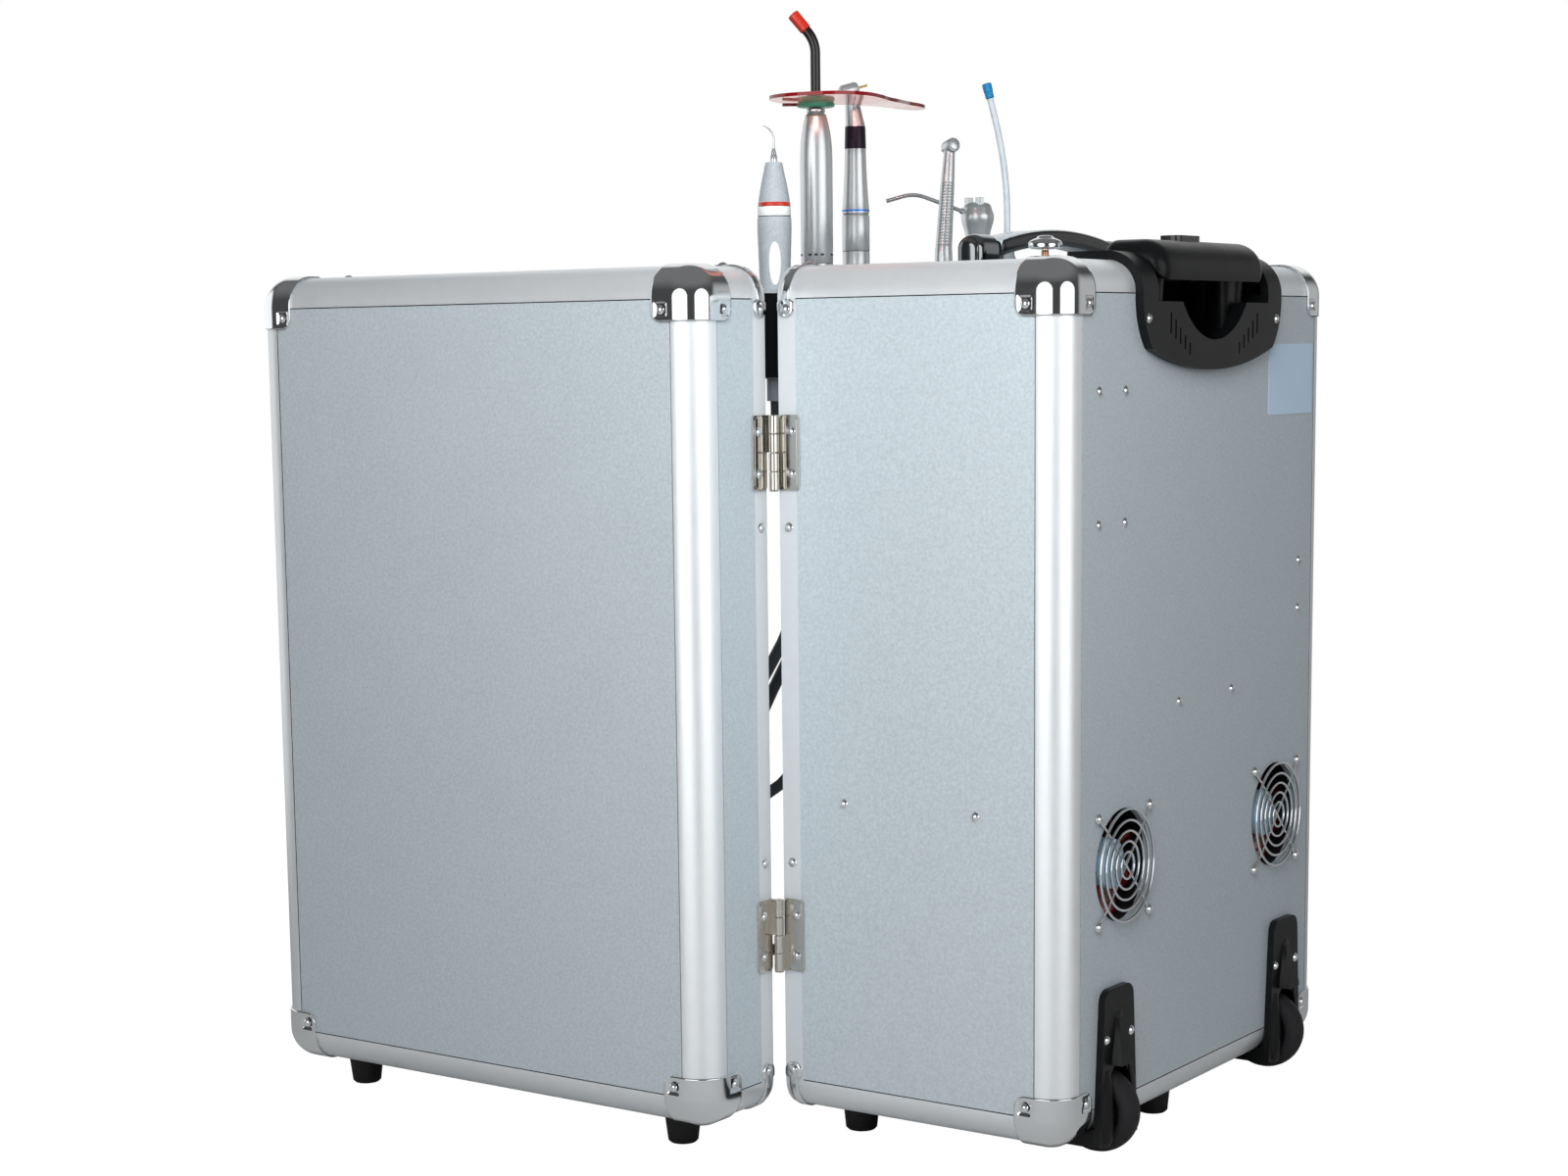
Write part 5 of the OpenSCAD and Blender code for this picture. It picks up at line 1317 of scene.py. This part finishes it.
class DENTAL_OT_hoses(bpy.types.Operator):
    """Makes the five silicone hoses from the handpieces to the panel"""
    bl_idname = "dental_unit.hoses"
    bl_label = "Hoses"

    def execute(self, context):
        build_hoses()
        return {"FINISHED"}


class DENTAL_OT_walls(bpy.types.Operator):
    """Dresses the case's walls and rims, and adds the bare plate"""
    bl_idname = "dental_unit.walls"
    bl_label = "Walls and rims"

    def execute(self, context):
        dress(("box_panels", "door_panels", "box_rim", "door_rim"))
        build_label()
        return {"FINISHED"}


class DENTAL_OT_edges(bpy.types.Operator):
    """Makes the rounded edge profiles of both halves"""
    bl_idname = "dental_unit.edges"
    bl_label = "Edge profiles"

    def execute(self, context):
        build_edges(context.scene.dental_unit_sizes.groove * 1000)
        return {"FINISHED"}


class DENTAL_OT_corners(bpy.types.Operator):
    """Makes the pressed chrome corners and the clamps round the rims"""
    bl_idname = "dental_unit.corners"
    bl_label = "Chrome corners"

    def execute(self, context):
        sizes = context.scene.dental_unit_sizes
        build_corners(sizes.corner_sheet * 1000, sizes.recess * 1000)
        return {"FINISHED"}


class DENTAL_OT_fasteners(bpy.types.Operator):
    """Dresses the rivets and screws"""
    bl_idname = "dental_unit.fasteners"
    bl_label = "Rivets and screws"

    def execute(self, context):
        dress(("box_fasteners", "door_fasteners"))
        return {"FINISHED"}


class DENTAL_OT_wheels(bpy.types.Operator):
    """Makes the wheels and their brackets, and dresses the feet"""
    bl_idname = "dental_unit.wheels"
    bl_label = "Wheels and feet"

    def execute(self, context):
        dress(("box_feet", "door_feet"))
        build_wheels()
        build_brackets()
        return {"FINISHED"}


class DENTAL_OT_fans(bpy.types.Operator):
    """Makes the fans' rotors, and dresses their frames and guards"""
    bl_idname = "dental_unit.fans"
    bl_label = "Fans"

    def execute(self, context):
        dress(("fan_frames", "fan_guards"))
        build_fans(context.scene.dental_unit_sizes.blade * 1000)
        return {"FINISHED"}


class DENTAL_OT_trolley_handle(bpy.types.Operator):
    """Makes the trolley handle's grip, and dresses its housing, tubes and button"""
    bl_idname = "dental_unit.trolley_handle"
    bl_label = "Trolley handle"

    def execute(self, context):
        softened = context.scene.dental_unit_sizes.softened
        dress(("handle_outer_tubes", "handle_inner_tubes"))
        dress(("handle_housing", "handle_button"), softened)
        build_grip()
        return {"FINISHED"}


class DENTAL_OT_carry_handle(bpy.types.Operator):
    """Makes the carry handle on top, with its end caps"""
    bl_idname = "dental_unit.carry_handle"
    bl_label = "Carry handle"

    def execute(self, context):
        build_carry_handle()
        return {"FINISHED"}


class DENTAL_OT_thumb_nut(bpy.types.Operator):
    """Makes the thumb nut on top, with the sleeve round its stud"""
    bl_idname = "dental_unit.thumb_nut"
    bl_label = "Thumb nut"

    def execute(self, context):
        build_thumb_nut()
        return {"FINISHED"}


class DENTAL_OT_hinges(bpy.types.Operator):
    """Makes the door's hinges, and dresses its latches"""
    bl_idname = "dental_unit.hinges"
    bl_label = "Hinges and latches"

    def execute(self, context):
        dress(("latch_plates", "latch_strikes", "latch_lever_upper", "latch_lever_lower"))
        build_latch_rivets()
        build_hinges()
        return {"FINISHED"}


class DENTAL_OT_front(bpy.types.Operator):
    """Dresses the front panel, its switch, knobs and sockets, and the instruments' holder"""
    bl_idname = "dental_unit.front"
    bl_label = "Front panel and holder"

    def execute(self, context):
        dress(("control_panel", "panel_sockets"))
        softened = context.scene.dental_unit_sizes.softened
        dress(("instrument_holder", "power_rocker", "air_knob", "water_knob"), softened)
        return {"FINISHED"}


class DENTAL_OT_compressor(bpy.types.Operator):
    """Dresses the compressor inside the case"""
    bl_idname = "dental_unit.compressor"
    bl_label = "Compressor"

    def execute(self, context):
        dress(("compressor",), context.scene.dental_unit_sizes.softened)
        return {"FINISHED"}


class DENTAL_OT_scaler(bpy.types.Operator):
    """Makes the scaler and its hooked tip"""
    bl_idname = "dental_unit.scaler"
    bl_label = "Scaler"

    def execute(self, context):
        build_scaler()
        return {"FINISHED"}


class DENTAL_OT_curing_light(bpy.types.Operator):
    """Makes the curing light, its glass rod and its eye shield"""
    bl_idname = "dental_unit.curing_light"
    bl_label = "Curing light"

    def execute(self, context):
        build_curing_light()
        build_shield(context.scene.dental_unit_sizes.shield_wave * 1000)
        return {"FINISHED"}


class DENTAL_OT_motor(bpy.types.Operator):
    """Makes the air motor with its contra-angle and bur"""
    bl_idname = "dental_unit.motor"
    bl_label = "Air motor and contra-angle"

    def execute(self, context):
        build_motor_handpiece()
        return {"FINISHED"}


class DENTAL_OT_highspeed(bpy.types.Operator):
    """Makes the high-speed handpiece and its bur"""
    bl_idname = "dental_unit.highspeed"
    bl_label = "High-speed handpiece"

    def execute(self, context):
        build_highspeed()
        return {"FINISHED"}


class DENTAL_OT_syringe(bpy.types.Operator):
    """Makes the three-way syringe and its two buttons"""
    bl_idname = "dental_unit.syringe"
    bl_label = "Three-way syringe"

    def execute(self, context):
        build_syringe()
        return {"FINISHED"}


class DENTAL_OT_ejector(bpy.types.Operator):
    """Makes the saliva ejector's valve and its bent straw"""
    bl_idname = "dental_unit.ejector"
    bl_label = "Saliva ejector"

    def execute(self, context):
        build_ejector()
        return {"FINISHED"}


OPERATORS = (
    DENTAL_OT_stage, DENTAL_OT_hoses, DENTAL_OT_walls, DENTAL_OT_edges, DENTAL_OT_corners,
    DENTAL_OT_fasteners, DENTAL_OT_wheels, DENTAL_OT_fans, DENTAL_OT_trolley_handle,
    DENTAL_OT_carry_handle, DENTAL_OT_thumb_nut, DENTAL_OT_hinges, DENTAL_OT_front, DENTAL_OT_compressor,
    DENTAL_OT_scaler, DENTAL_OT_curing_light, DENTAL_OT_motor, DENTAL_OT_highspeed, DENTAL_OT_syringe,
    DENTAL_OT_ejector,
)


class DENTAL_PT_unit(bpy.types.Panel):
    """Lists the unit's colours, sizes and lights, and the pieces that can be built"""
    bl_idname = "DENTAL_PT_unit"
    bl_label = "Portable dental unit"
    bl_space_type = "VIEW_3D"
    bl_region_type = "UI"
    bl_category = "Dental unit"

    def draw(self, context):
        scene = context.scene
        for group in (scene.dental_unit_colours, scene.dental_unit_sizes, scene.dental_unit_studio):
            box = self.layout.box()
            for name in group.__annotations__:
                box.prop(group, name)
        for operator in OPERATORS:
            self.layout.operator(operator.bl_idname)


CLASSES = (DentalUnitColours, DentalUnitSizes, DentalUnitStudio, *OPERATORS, DENTAL_PT_unit)


def register():
    for cls in CLASSES:
        bpy.utils.register_class(cls)
    bpy.types.Scene.dental_unit_colours = PointerProperty(type=DentalUnitColours)
    bpy.types.Scene.dental_unit_sizes = PointerProperty(type=DentalUnitSizes)
    bpy.types.Scene.dental_unit_studio = PointerProperty(type=DentalUnitStudio)


def unregister():
    del bpy.types.Scene.dental_unit_studio
    del bpy.types.Scene.dental_unit_sizes
    del bpy.types.Scene.dental_unit_colours
    for cls in reversed(CLASSES):
        bpy.utils.unregister_class(cls)


def main():
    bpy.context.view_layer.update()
    register()
    bpy.ops.dental_unit.stage()
    bpy.ops.dental_unit.hoses()
    bpy.ops.dental_unit.walls()
    bpy.ops.dental_unit.edges()
    bpy.ops.dental_unit.corners()
    bpy.ops.dental_unit.fasteners()
    bpy.ops.dental_unit.wheels()
    bpy.ops.dental_unit.fans()
    bpy.ops.dental_unit.trolley_handle()
    bpy.ops.dental_unit.carry_handle()
    bpy.ops.dental_unit.thumb_nut()
    bpy.ops.dental_unit.hinges()
    bpy.ops.dental_unit.front()
    bpy.ops.dental_unit.compressor()
    bpy.ops.dental_unit.scaler()
    bpy.ops.dental_unit.curing_light()
    bpy.ops.dental_unit.motor()
    bpy.ops.dental_unit.highspeed()
    bpy.ops.dental_unit.syringe()
    bpy.ops.dental_unit.ejector()


if __name__ == "__main__":
    main()
